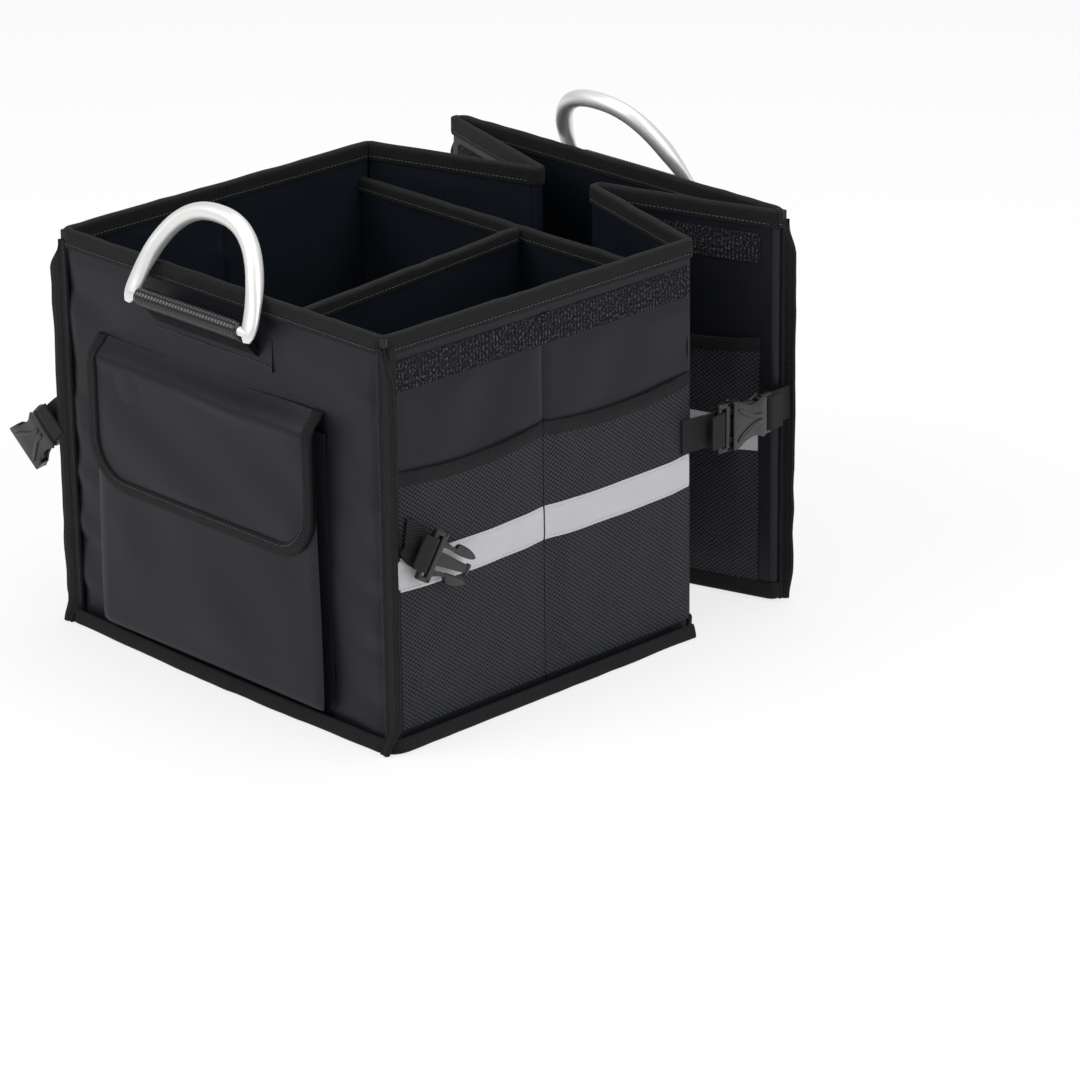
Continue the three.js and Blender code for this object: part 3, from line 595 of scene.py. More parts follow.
def plan_path(points, radius, step=3.0):
    """A path in plan with rounded corners, and its normals to the right of the way."""
    points = [np.array(p, float) for p in points]
    path = [points[0]]

    def straight_to(end):
        count = max(2, int(np.linalg.norm(end - path[-1]) / step))
        path.extend(np.linspace(path[-1], end, count)[1:])

    for a, b, c in zip(points, points[1:], points[2:]):
        u = (b - a) / np.linalg.norm(b - a)
        w = (c - b) / np.linalg.norm(c - b)
        back = radius * math.tan(math.acos(np.clip(u @ w, -1, 1)) / 2)
        start, end = b - u * back, b + w * back
        straight_to(start)
        for t in np.linspace(0, 1, 8)[1:]:
            path.append((1 - t) ** 2 * start + 2 * t * (1 - t) * b + t * t * end)
    straight_to(points[-1])
    path = np.array(path)
    tangent = headings(path)
    return path, np.stack([tangent[:, 1], -tangent[:, 0]], 1)


def fold_profile(low, top, down=1):
    """A tape folded over a board's edge, as (n, v) points round its closed section."""
    half = BOARD / 2 + 0.15
    outer = half + TAPE
    crown = outer * 0.8
    arc = [
        (outer * math.cos(a), top - crown + crown * math.sin(a))
        for a in np.linspace(0.1, math.pi - 0.1, 11)
    ]
    right = [
        (half + 0.2, low), (outer - 0.2, low), (outer + 0.2, low + 1.2), (outer, low + 4), (outer, top - 5),
    ]
    left = [(-a, b) for a, b in right[::-1]]
    section = np.array(right + arc + left + [(-half, top - TAPE), (half, top - TAPE)])
    if down < 0:
        section[:, 1] = low + top - section[:, 1]
    return section


def uneven(count, amount, seed, every=4):
    """Slow random unevenness along a run."""
    knots = max(4, count // every)
    draw = np.random.default_rng(seed)
    return np.interp(np.linspace(0, 1, count), np.linspace(0, 1, knots), draw.normal(0, amount, knots))


def tape_run(path, out, profile, seed, rough=0.25):
    """A section swept along a path in plan, with a little unevenness."""
    grow, rise = uneven(len(path), rough, seed), uneven(len(path), rough, seed + 1)
    share = (profile[:, 1] - profile[:, 1].min()) / np.ptp(profile[:, 1])
    rings = []
    for p, o, g, r in zip(path, out, grow, rise):
        n = profile[:, 0] * (1 + 0.06 * g)
        rings.append(np.column_stack([p[0] + o[0] * n, p[1] + o[1] * n, profile[:, 1] + r * share]))
    return swept(rings)


def seam_rows(path, out, height):
    """Stitch rows on both legs of a folded tape."""
    rows = []
    for side in (-1, 1):
        reach = side * (BOARD / 2 + TAPE + 0.35)
        rows.append((
            np.column_stack([path + out * reach, np.full(len(path), height)]),
            np.column_stack([out * side, np.zeros(len(path))]),
        ))
    return rows


def rim_tape(name, body, points, seed, replaces=(), radius=7.0):
    path, out = plan_path(points, radius)
    tape = tape_run(path, out, fold_profile(RIM_LOW, RIM_HIGH), seed)
    tape.piece(f"{name}_rim_tape", body, BINDING, replaces=replaces)
    stitches(f"{name}_rim_stitches", body, SEAM_THREAD_AND_HIGHLIGHT, seam_rows(path, out, RIM_LOW + 3.2))


def end_panels():
    centre = HALF - BOARD / 2
    for seed, (prefix, wall, body) in enumerate(ENDS):
        def relief(u, v, seed=seed):
            slack = 0.6 + waves(u, v, 1.2, 120, 3 + seed) + waves(u, v, 0.35, 42, 5 + seed)
            total = fade(u, -HALF, HALF, 16) * slack
            for edge in (-HALF, HALF):
                total = total + pucker(u, v, edge, 42, 26, 1.9, 11 + seed)
            return total - 1.0 * bump(np.abs(u), HALF - 7, 2.5)
        boarded(f"{prefix}_panel", body, wall, -HALF, HALF, 2.3, TOP, relief, 8 + seed, (f"{prefix}_panel",))
        y = wall.corner[1] - wall.outward[1] * BOARD / 2
        start = MIDDLE if prefix == "near" else FAR_CORNER[1]
        points = [(centre, start), (centre, y), (-centre, y), (-centre, start)]
        rim_tape(prefix, body, points, 11 + seed, (f"{prefix}_panel_binding",))


def upright_bindings():
    """Tapes folded over the end panels' upright edges, which stand off them as soft fins."""
    for prefix, wall, body in ENDS:
        tapes, rows = Build(), []
        for end in (-1, 1):
            low, deep = (1.0, 9.0) if prefix == "near" else (0.8, 5.4)
            heights = spread(low, RIM_LOW + 5, 4)
            count = len(heights)
            seed = 21 + (end > 0) + 2 * (prefix == "far")
            sway, bulge = uneven(count, 0.5, seed), uneven(count, 0.35, seed + 9, 3)
            reach = FIN * (1.1 if end * wall.along[0] < 0 else 0.85)
            rings, row = [], []
            for z, s, b in zip(heights, sway, bulge):
                ends = ease((RIM_LOW + 6 - z) / 26) * (0.55 + 0.45 * ease((z - low) / 26))
                tab = 1.0 - ease((z - low) / 16)
                tip = (reach + 0.8 * s) * ends
                lift = 0.6 * b + FLARE * 0.95 * tab * (prefix == "near")
                contour = [
                    (-6.5, 0.1), (-6.0, 1.5), (-2.5, 2.1 + 0.3 * b), (-0.4, 1.5), (1.2, 2.3 + 0.4 * b),
                    (tip * 0.6, 2.6 + 0.5 * b), (tip - 0.8, 1.9), (tip, 0.5), (tip - 0.6, -0.9),
                    (tip * 0.6, -2.2), (1.9, -3.2), (1.7, -deep), (0.3, -deep - 0.2), (0.1, -1.0),
                    (-1.5, 0.1),
                ]
                rings.append([wall.at(end * (HALF + a), z, n + lift * (a > -3)) for a, n in contour])
                row.append(wall.at(end * (HALF - 4.6), z, 2.0 + 0.3 * b + lift * 0.2))
            tapes.sweep(rings)
            rows.append((row, wall.outward))
        tapes.piece(f"{prefix}_upright_bindings", body, BINDING)
        stitches(f"{prefix}_upright_stitches", body, SEAM_THREAD_AND_HIGHLIGHT, rows)


def near_hem():
    """The floor's tape: it leans out from the walls and rolls under at its foot."""
    crest = HEM - 3.5
    section = np.array([
        (4.4, crest - 1.2), (5.0, crest + 0.3), (6.2, crest), (7.2, crest - 2.5), (8.0, 5.0),
        (FLARE + 0.5, 2.4), (FLARE, 0.8), (FLARE - 1.6, 0.0), (3.0, 0.0), (0.8, 0.8), (1.0, 2.6), (3.6, 4.0),
    ])
    path, out = plan_path([(-HALF, MIDDLE - 0.4), (-HALF, NEAR), (HALF, NEAR), (HALF, MIDDLE - 0.4)], 9)
    build = Build()
    middle = fade(path[:, 0], -HALF, HALF, 150) * (path[:, 1] < NEAR + 1)
    rings = []
    for p, o, m, r in zip(path, out, middle, uneven(len(path), 0.3, 31)):
        n = section[:, 0] * (1 + 0.4 * m) + r * section[:, 0] / FLARE
        height = section[:, 1] + 0.3 * r * (section[:, 1] > 7)
        rings.append(np.column_stack([p[0] + o[0] * n, p[1] + o[1] * n, height]))
    build.sweep(rings)
    build.piece("near_hem", "root", BINDING)
    u, v = field(-HALF, HALF, NEAR, MIDDLE - 0.4, 12)
    top, foot = (np.stack([u, v, np.full_like(u, z)], -1) for z in (2.0, 0.2))
    made = slabbed(top, foot, u, v)
    made.piece("near_floor_cloth", "root", CLOTH, replaces=("near_floor",))


def near_side_walls():
    for label, side in SIDES:
        wall = side_wall(side)
        low, high = box(f"near_{label}_front_wall")[0][1], box(f"near_{label}_back_wall")[1][1]
        mid = (low + high) / 2

        def relief(u, v, a=low, b=high, m=mid, seed=17 + side):
            whole = fade(u, a, m, 14) + fade(u, m, b, 14)
            slack = whole * (0.7 + waves(u, v, 0.9, 80, seed))
            slack = slack + pucker(u, v, b, 60, 22, 1.4, seed) + 0.5 * bump(u, m - 5, 2.4)
            return slack * fade(v, 196, 262, 14) - 1.6 * bump(u, m, 2.2)

        def inside(u, _, m=mid):
            return 1.4 * bump(np.abs(u - m), 3.4, 1.5) - 1.2 * bump(u, m, 1.6)

        nodes = (f"near_{label}_front_wall", f"near_{label}_back_wall")
        boarded(f"near_{label}_wall", "root", wall, low, high, 2.4, TOP, relief, 5 + side, nodes, inside)


def leaf_walls():
    for seed, (name, side, wall) in enumerate(LEAVES):
        def relief(u, v, seed=seed):
            return fade(u, 0, LEAF, 12) * (0.4 + waves(u, v, 0.5, 80, 23 + seed)) * fade(v, 196, 262, 14)
        boarded(name, name, wall, 0.4, LEAF - 0.4, 1.0, TOP, relief, 6, (f"{name}_wall",))
        ends = wall.at(np.array([0.4, LEAF - 0.4]), 0.0, -BOARD / 2)[:, :2]
        if side > 0:
            ends = ends[::-1]
        rim_tape(name, name, ends, 41 + seed)
        path, out = plan_path(ends, 3)
        tape_run(path, out, fold_profile(0.6, HEM, -1), 47 + seed).piece(f"{name}_hem_tape", name, BINDING)


# Folds between the walls

def turned(pivot, angle, section):
    """A section of (radius, height) points stood at an angle round a pivot."""
    return [(pivot[0] + math.cos(angle) * r, pivot[1] + math.sin(angle) * r, z) for r, z in section]


def fold(name, pivot, start, sweep, nose, bodies, look):
    """Tapes and cloth that bend round a fold. A nose has its pivot on the outer side."""
    centre = BOARD / 2 + PROUD
    rim, hem = fold_profile(RIM_LOW, RIM_HIGH), fold_profile(0.6, HEM, -1)
    sign = -1 if nose else 1
    sheet = np.array([
        (INNER - 0.2, 1.2), (INNER - 0.2, TOP - 3), (INNER - 1.2, TOP - 3), (INNER - 1.2, 1.2),
    ])
    over = 0.06 * np.sign(sweep)
    angles = np.linspace(start - over, start + sweep + over, 15)
    if len(bodies) == 2:
        points = [np.array(turned(pivot, a, [(INNER, 0.0)])[0]) for a in (start, start + sweep)]
        body = (*bodies, *points)
    else:
        body = bodies[0]
    for part, section, cloth in (
        ("rim_tape", rim, BINDING), ("hem_tape", hem, BINDING), ("cloth", sheet, look),
    ):
        if part != "cloth":
            section = np.column_stack([np.maximum(centre + sign * section[:, 0], 0.15), section[:, 1]])
        swept([turned(pivot, a, section) for a in angles]).piece(f"{name}_{part}", body, cloth)


def folds():
    for label, side in SIDES:
        front, back = f"far_{label}_front", f"far_{label}_back"
        facing = 0.0 if side > 0 else math.pi
        mirror = np.array([side, 1, 1])
        fold(f"middle_{label}_fold", CORNER * mirror, facing, side * FOLD, False, ("root", front), CLOTH)
        fold(
            f"far_{label}_ridge", RIDGE * mirror, facing + side * (FOLD + math.pi), -2 * side * FOLD, True,
            (front, back), LINING,
        )
        pivot, start = FAR_CORNER * mirror, facing - side * FOLD
        if side > 0:
            fold(f"far_{label}_corner_fold", pivot, start, FOLD, False, (back, "far_end"), CLOTH)
            continue
        # No joint ties this corner, so each half of its fold rides on its own body.
        half = -FOLD / 2
        fold(f"far_{label}_corner_leaf_fold", pivot, start, half, False, (back,), CLOTH)
        fold(f"far_{label}_corner_end_fold", pivot, start + half, half, False, ("far_end",), CLOTH)


def far_hem():
    path, out = plan_path([(HALF + 1, FAR - BOARD / 2), (-HALF - 1, FAR - BOARD / 2)], 3)
    section = fold_profile(0.4, HEM, -1)
    section[:, 0] *= 1 + 1.3 * (section[:, 0] > 0) * ease(1 - section[:, 1] / HEM)
    tape_run(path, out, section, 53).piece("far_hem_tape", "far_end", BINDING, replaces=("far_panel_hem",))


def far_floor():
    """The bay's cloth floor, which rises to a ridge as the bay folds."""
    for end in ("near", "far"):
        low, high = box(f"far_floor_{end}_leaf")
        wide = high[0]
        ridge = joint("far_floor_ridge")[0]
        foot_y = low[1] + 1 if end == "near" else high[1] - 1
        reach = math.hypot(ridge[1] - foot_y, ridge[2] - low[2])
        u, t = np.meshgrid(spread(-1, 1, 0.06), spread(0, 1, 0.04), indexing="ij")
        narrow = wide - reach * math.sin(FOLD) + 2.0
        x = u * (wide + (narrow - wide) * t)
        y = foot_y + (ridge[1] - foot_y) * t
        z = low[2] + 1.2 + (ridge[2] - low[2] - 1.2) * t
        dip = fade(t, 0, 1, 0.2) * (1.0 + waves(x, z, 1.2, 70, 5))
        toward = 1 if end == "near" else -1
        face = np.array([0, -math.sin(FOLD) * toward, math.cos(FOLD)])
        base = np.stack([x, y, z], -1)
        build = Build()
        above, below = (face * (thick + dip * 0.4)[..., None] for thick in (0.6, -0.6))
        build.slab(base + above, base + below, x, z)
        node_name = f"far_floor_{end}_leaf"
        build.piece(f"far_floor_{end}_cloth", f"floor_{end}_leaf", LINING, replaces=(node_name,))


# Trim of the side walls

ELASTIC_BAND = 10.0
ELASTIC_SAG = 6.0
TAPE_SAG = 1.5


def sag(u, u0, u1, depth):
    """How far a band hangs below its ends."""
    t = (u - u0) / (u1 - u0)
    return -4 * depth * t * (1 - t)


def trim(body, wall, spans, prefix, seed):
    """Loop strip, mesh with its elastic, and reflective tape over spans of u."""
    strip_low, strip_high = box(f"{prefix}_loop_strip")
    tape_low, tape_high = box(f"{prefix}_reflector")
    mesh_low, mesh_high = box(f"{prefix}_mesh_pocket")
    foot, head = mesh_low[2] - 2, mesh_high[2] - ELASTIC_BAND
    net, elastic, silver, pile, rows = Build(), Build(), Build(), Build(), []
    for k, (a, b) in enumerate(spans):
        def swell(u, v, a=a, b=b, k=k):
            """How far the mesh stands off the wall."""
            hold = fade(u, a, b, 22) * ease((v - foot) / 26)
            folds = waves(u, v, 0.8, 46, 61 + seed + k) + 0.7 * pucker(u, v, a, 30, 26, 1.2, seed)
            bunch = 1.2 * bump(u, a + 16, 14) * bump(v, foot + 26, 20) * np.sin((u + v) / 2.6)
            return 0.7 + hold * (1.7 + folds + bunch)

        def sheet(build, u0, u1, t0, t1, low, high, top, step=3.0):
            """A sheet from t0 to t1 up the wall, its top lowered along u, between two offsets."""
            u, t = np.meshgrid(spread(u0, u1, step), spread(0, 1, step / (t1 - t0)), indexing="ij")
            v = t0 + t * (t1 - t0) + top(u, t)
            build.slab(wall.at(u, v, high(u, v, t)), wall.at(u, v, low(u, v, t)), u, v)

        def hang(u, t, a=a, b=b):
            return sag(u, a, b, ELASTIC_SAG) * t

        def slack(u, t, a=a, b=b):
            return sag(u, a, b, TAPE_SAG)

        sheet(net, a, b, foot, head + 2, lambda u, v, t: 0.2 + 0 * u, lambda u, v, t: swell(u, v) + 0.4, hang)
        sheet(elastic, a, b, head, head + ELASTIC_BAND, lambda u, v, t: 0.3 + 0 * u,
              lambda u, v, t: (swell(u, v * 0 + head) + 1.6) * (1 - 0.3 * (2 * t - 1) ** 4),
              lambda u, t: hang(u, 1), 2.5)
        sheet(silver, a + 0.5, b - 0.5, tape_low[2], tape_high[2], lambda u, v, t: swell(u, v) - 0.2,
              lambda u, v, t: swell(u, v) + 1.1 - 0.5 * (2 * t - 1) ** 8, slack)
        u = spread(a + 1.5, b - 1.5, 2)
        for z in (tape_low[2] + 2.0, tape_high[2] - 2.0):
            v = z + slack(u, 0)
            rows.append((wall.at(u, v, swell(u, v) + 1.05), wall.outward))
        sheet(pile, a, b, strip_low[2], strip_high[2], lambda u, v, t: 0.1 + 0 * u,
              lambda u, v, t: 1.5 + waves(u, v, 0.3, 26, 3) - 0.5 * (2 * t - 1) ** 8, lambda u, t: 0 * u)
    net.piece(f"{prefix}_net", body, NET, replaces=(f"{prefix}_mesh_pocket",))
    elastic.piece(f"{prefix}_elastic", body, ELASTIC)
    silver.piece(f"{prefix}_silver", body, SILVER, replaces=(f"{prefix}_reflector",))
    pile.piece(f"{prefix}_loops", body, LOOPS, replaces=(f"{prefix}_loop_strip",))
    stitches(f"{prefix}_silver_stitches", body, PALE_THREAD, rows)


def all_trim():
    for label, side in SIDES:
        low, high = box(f"near_{label}_mesh_pocket")
        trim("root", side_wall(side), [(low[1], -0.3), (0.3, high[1])], f"near_{label}", 2 + side)
    for seed, (name, _, wall) in enumerate(LEAVES):
        trim(name, wall, [(9, LEAF - 9)], name, 5 + seed)


# Inside the near bay

def loose_boards():
    low, high = box("near_base_board")
    u, v = field(low[0], high[0], low[1], high[1], 10)
    board = Build()
    top = np.stack([u, v, high[2] + waves(u, v, 0.2, 90, 2)], -1)
    board.slab(top, np.stack([u, v, np.full_like(u, low[2])], -1), u, v)
    board.piece("base_board_cover", "root", LINING, replaces=("near_base_board",))
    for name in ("cross_divider", "lengthwise_divider"):
        low, high = box(name)
        half_rim = (BOARD + 2 * TAPE) / 2
        if name == "cross_divider":
            y = (low[1] + high[1]) / 2
            a, b = np.array([low[0], y]), np.array([high[0], y])
        else:
            a, b = np.array([high[0] - half_rim, low[1]]), np.array([low[0] + half_rim, high[1]])
        along = (b - a) / np.linalg.norm(b - a)
        outward = np.array([along[1], -along[0]])
        wall = Wall(a + outward * BOARD / 2, along, outward)
        length = np.linalg.norm(b - a)
        u, v = field(0.5, length - 0.5, low[2], high[2] - 2, 4)
        hold = fade(u, 0, length, 20) * fade(v, low[2], high[2], 20)
        front = hold * waves(u, v, 1.1, 110, 29) + pucker(u, v, length, 70, 30, 0.9, 4)
        back = -BOARD + hold * waves(u, v, 0.9, 110, 33)
        made = slabbed(wall.at(u, v, front), wall.at(u, v, back), u, v)
        made.piece(f"{name}_cloth", "root", LINING, replaces=(name,))
        path, out = plan_path([a, b], 3)
        tape = tape_run(path, out, fold_profile(high[2] - RIM + 1, high[2] + 0.4), 51)
        tape.piece(f"{name}_rim_tape", "root", BINDING)
        stitches(f"{name}_stitches", "root", SEAM_THREAD_AND_HIGHLIGHT, seam_rows(path, out, high[2] - RIM + 4.2))


# Pockets and flaps

POCKET_HALF = 117.0
POCKET_SHIFT = -9.0
POCKET_LOWER = 5.0    # how far the cloth hangs below the frame's pocket
FLAP_HALF = 118.0
FLAP_SHIFT = -11.5
FLAP_LOWER = 3.0
FLAP_TOP = 2.5        # how far the flap's seam lies below the frame's flap
FLAP_CORNER = 36.0
FLAP_BINDING = 8.5
FLAP_ROLL = 17.0      # length of cloth in the bend at its top


def pockets():
    for prefix, wall, body in ENDS:
        low, high = box(f"{prefix}_pocket")
        depth = high[1] - low[1]
        z0, z1 = low[2] - POCKET_LOWER, high[2]
        us = spread(-POCKET_HALF, POCKET_HALF, 5)
        rings = []
        for z in np.concatenate([z0 + np.array([-1.0, -0.7, 0.0, 1.2, 3.0, 5.5]), spread(z0 + 9, z1, 5)]):
            rise = math.sin(math.pi / 2 * min(1.0, max(0.06, (z - z0 + 1.2) / 6.0)))
            base = (depth - 2.2) * rise
            hold = fade(us, -POCKET_HALF, POCKET_HALF, 40) * ease((z - z0) / 30)
            puff = hold * (1.2 + waves(us, np.full_like(us, z), 1.3, 110, 71))
            crease = 0.7 * bump(z - 46 + 0.55 * (us - 62), 0, 1.3) * bump(us, 62, 12)
            face = base + puff + crease - 1.3 * bump(np.abs(us), POCKET_HALF, 2.2) * rise + 1.0
            wide = POCKET_HALF + 0.7 * math.sin(z / 37.0) + (z1 - z) * 0.012
            wide -= 7.0 * (1 - min(1.0, (z - z0 + 1.2) / 9.0)) ** 2
            gusset = [
                (wide - 3.5, base * 0.72 + 0.6), (wide - 9, base * 0.42 + 0.6), (wide - 4, 1.9),
                (wide + 2.4, 1.3),
            ]
            skin = [(-a, n) for a, n in gusset[::-1]]
            skin += [(u * wide / POCKET_HALF, n) for u, n in zip(us, face)] + gusset
            skin = np.array(skin)
            run = headings(skin)
            lined = skin + np.column_stack([run[:, 1], -run[:, 0]]) * 0.9
            contour = np.concatenate([skin, lined[::-1]])
            rings.append(wall.at(POCKET_SHIFT + contour[:, 0], z, np.maximum(contour[:, 1], 0.2)))
        swept(rings).piece(f"{prefix}_pocket_cloth", body, CLOTH, replaces=(f"{prefix}_pocket",))
        flap(prefix, wall, f"{prefix}_flap")


def flap(prefix, wall, body):
    """The flap with its rolled top, and the binding round its free edges."""
    low, high = box(f"{prefix}_pocket_flap")
    centre, half = FLAP_SHIFT, FLAP_HALF
    out = high[1] - low[1] - 3.0
    z0, z1, radius = low[2] - FLAP_LOWER, high[2] - FLAP_TOP, FLAP_CORNER
    drop = z1 - z0

    def off(u, hang):
        """How far the flap's face stands off the panel."""
        turn = np.clip(hang / FLAP_ROLL, 0, 1)
        lifted = 0.8 + out * np.sin(turn * math.pi / 2) ** 1.3
        inside = fade(u, -half, half, 26) * fade(hang, -2, drop, 16)
        loose = inside * (0.9 + waves(u, hang, 1.2, 85, 83))
        roll = 1.7 * bump(hang, 13 + 3 * np.sin(u / 47.0), 5.5) * (0.65 + 0.35 * np.sin(u / 19.0 + 1))
        return lifted + loose + roll * fade(u, -half, half, 12)

    u, t = np.meshgrid(spread(-half, half, 3.5), spread(0, 1, 0.025), indexing="ij")
    over = np.clip(np.abs(u) - (half - radius), 0, radius - 0.01)
    hang = t * (drop - (radius - np.sqrt(radius ** 2 - over ** 2)))
    v = z1 + 1.0 - hang - 1.2 * bump(u, 35, 30) * (1 - t)
    n = off(u, hang)
    made = slabbed(wall.at(centre + u, v, n), wall.at(centre + u, v - 0.3, n - 1.5), u, v)
    cloth = made.piece(f"{prefix}_flap_cloth", body, CLOTH, replaces=(f"{prefix}_pocket_flap",))

    bend = np.linspace(0, math.pi / 2, 12)
    path = [(-half, height) for height in spread(z1 + 1, z0 + radius, 5)]
    path += [(-half + radius * (1 - math.cos(a)), z0 + radius * (1 - math.sin(a))) for a in bend[1:]]
    path += [(x, z0) for x in spread(-half + radius, half - radius, 5)[1:]]
    path += [(half - radius * (1 - math.sin(a)), z0 + radius * (1 - math.cos(a))) for a in bend[1:]]
    path += [(half, height) for height in spread(z0 + radius, z1 + 1, 5)[1:]]
    path = np.array(path)
    tangent = headings(path)
    inward = np.stack([-tangent[:, 1], tangent[:, 0]], 1)
    wide = FLAP_BINDING
    section = [(-1.2, -1.2), (-1.5, 0.4), (-0.6, 1.5), (wide * 0.5, 1.9), (wide - 0.8, 1.5), (wide, 0.6),
               (wide, -1.0), (wide * 0.5, -1.8)]
    rings, row = [], []
    for p, w, s in zip(path, inward, uneven(len(path), 0.4, 91)):
        ring = []
        for a, b in section:
            x, z = p[0] + w[0] * a, p[1] + w[1] * a
            ring.append(wall.at(centre + x, z, off(np.float64(x), z1 + 1 - z) + b + 0.25 * s))
        rings.append(ring)
        x, z = p[0] + w[0] * (wide - 2.2), p[1] + w[1] * (wide - 2.2)
        row.append(wall.at(centre + x, z, off(np.float64(x), z1 + 1 - z) + 1.9))
    swept(rings).piece(f"{prefix}_flap_binding", body, BINDING)
    stitches(f"{prefix}_flap_stitches", body, SEAM_THREAD_AND_HIGHLIGHT, [(row, wall.outward)])


# Handles and their sleeves

HANDLE_SPAN = 56.5
HANDLE_RISE = 71.5
HANDLE_FULLNESS = 2.35
HANDLE_SPLAY = 0.1    # how much wider the arch is at its feet
HANDLE_FOOT = HANDLE_SPAN * (1 + HANDLE_SPLAY)
NEAR_HANDLE_SHIFT = -3.5
NEAR_HANDLE_LEAN = math.radians(3)
ROD = 3.4
SLEEVE_RADIUS = 6.4
RIB_HEIGHT = 0.42
RIB_PITCH = 3.2
TUBE = 6.4


def arch(t):
    """A point of the handle's arch, across and up from its pivot."""
    a = math.pi * (1 - t)
    power = 2 / HANDLE_FULLNESS
    splay = 1 + HANDLE_SPLAY * (1 - math.sin(a)) ** 2
    return np.array([
        HANDLE_SPAN * splay * np.sign(math.cos(a)) * abs(math.cos(a)) ** power,
        HANDLE_RISE * abs(math.sin(a)) ** power,
    ])


def handle_pivot(prefix):
    return joint(f"{prefix}_handle_swing")[0] + np.array([NEAR_HANDLE_SHIFT * (prefix == "near"), 0, 0])


def handle(prefix, wall):
    """A bent tube whose ends are pressed flat and curl in round the rod."""
    pivot = handle_pivot(prefix)
    high = box(f"{prefix}_handle")[1]
    crown = high[2] - pivot[2] - TUBE
    lean = math.acos(min(1.0, crown / HANDLE_RISE)) + NEAR_HANDLE_LEAN * (prefix == "near")
    across = wall.along
    up = -wall.outward * math.sin(lean) + UP * math.cos(lean)
    out = np.cross(across, up)
    path = [np.array([-HANDLE_FOOT - 1.0, -6.5]), np.array([-HANDLE_FOOT - 0.6, -3.2])]
    path += [arch(t) for t in np.linspace(0, 1, 90)]
    path += [np.array([-path[1][0], path[1][1]]), np.array([-path[0][0], path[0][1]])]
    path = np.array(path)
    smooth = path.copy()
    for _ in range(3):
        smooth[1:-1] = (smooth[:-2] + 2 * smooth[1:-1] + smooth[2:]) / 4
    tangent = headings(smooth)
    rings = []
    last = len(smooth) - 1
    for i, (p, t) in enumerate(zip(smooth, tangent)):
        end = min(i, last - i)
        pressed = 1 - ease((end - 3) / 13)
        thick = TUBE * (1 - 0.42 * pressed)
        broad = TUBE * (1 + 0.1 * pressed)
        tip = math.sqrt(1 - (1 - min(1, (end + 0.35) / 4.0)) ** 2)
        side = np.array([t[1], -t[0]])
        ring = []
        for q in np.linspace(0, 2 * math.pi, 28, endpoint=False):
            a, b = math.cos(q) * broad * tip, math.sin(q) * thick * tip
            flat = p + side * a
            ring.append(pivot + across * flat[0] + up * flat[1] + out * b)
        rings.append(ring)
    made = swept(rings)
    made.piece(f"{prefix}_handle_tube", f"{prefix}_handle", METAL, replaces=(f"{prefix}_handle",), sharp=60)
    rod = Build()
    for end in (-1, 1):
        ring_at = [(HANDLE_FOOT - 14, ROD), (HANDLE_FOOT + 0.2, ROD), (HANDLE_FOOT + 1.2, 2.6)]
        rings = [
            [pivot + across * end * x + (up * math.sin(q) + out * math.cos(q)) * r
             for q in np.linspace(0, 2 * math.pi, 20, endpoint=False)]
            for x, r in ring_at
        ]
        rod.sweep(rings)
    rod.piece(f"{prefix}_handle_rod", f"{prefix}_handle", METAL)


def sleeve(prefix, wall, body):
    """Ribbed cloth round the handle's rod, and the patch that sews it to the panel."""
    pivot = handle_pivot(prefix)
    low, high = box(f"{prefix}_handle_sleeve")
    x = float(pivot @ wall.along)
    stand = abs(pivot[1] - wall.corner[1])
    half = (high[0] - low[0]) / 2 + 3.5
    foot = low[2]
    us = spread(-half, half, 0.8)
    rings = []
    for u in us:
        rib = RIB_HEIGHT * math.sin(2 * math.pi * u / RIB_PITCH)
        end = 1 - 0.16 * (bump(abs(u), half, 2.0))
        contour = []
        for q in np.linspace(math.radians(215), math.radians(-35), 22):
            r = (SLEEVE_RADIUS + rib) * end
            contour.append((stand + r * math.cos(q), pivot[2] + r * math.sin(q)))
        contour += [(stand - 7.0, pivot[2] - 13), (5.0, foot + 9), (1.2, foot + 6), (0.6, foot + 9)]
        contour += [(5.0, pivot[2] - 12)]
        rings.append([wall.at(x + u, z, n) for n, z in contour])
    made = swept(rings)
    made.piece(f"{prefix}_sleeve_cloth", body, RIBBED, replaces=(f"{prefix}_handle_sleeve",), sharp=60)
    patch = Build()
    u, v = field(-half - 5, half + 14, foot - 2, foot + 22, 3)
    edge = 0.7 * (bump(u, half + 12.5, 1.5) + bump(u, -half - 3.5, 1.5) + bump(v, foot, 1.5))
    raised = 1.2 + edge + waves(u, v, 0.25, 40, 15)
    patch.slab(wall.at(x + u, v, raised), wall.at(x + u, v, 0.1), u, v)
    patch.piece(f"{prefix}_sleeve_patch", body, CLOTH)
    row = wall.at(x + spread(-half - 3, half + 12, 3), foot + 2.2, 1.8)
    stitches(f"{prefix}_patch_stitches", body, SEAM_THREAD_AND_HIGHLIGHT, [(row, wall.outward)])


# Straps and buckles

class Place:
    """A buckle half's own frame: its bar at y = 0, pointing along +Y, with its face outwards along X."""

    def __init__(self, origin, outward, along):
        self.origin = np.array(origin, float)
        self.y = np.array(along, float) / np.linalg.norm(along)
        z = np.cross(outward, self.y)
        self.z = z / np.linalg.norm(z)
        self.x = np.cross(self.y, self.z)

    def at(self, x, y, z):
        return self.origin + x * self.x + y * self.y + z * self.z


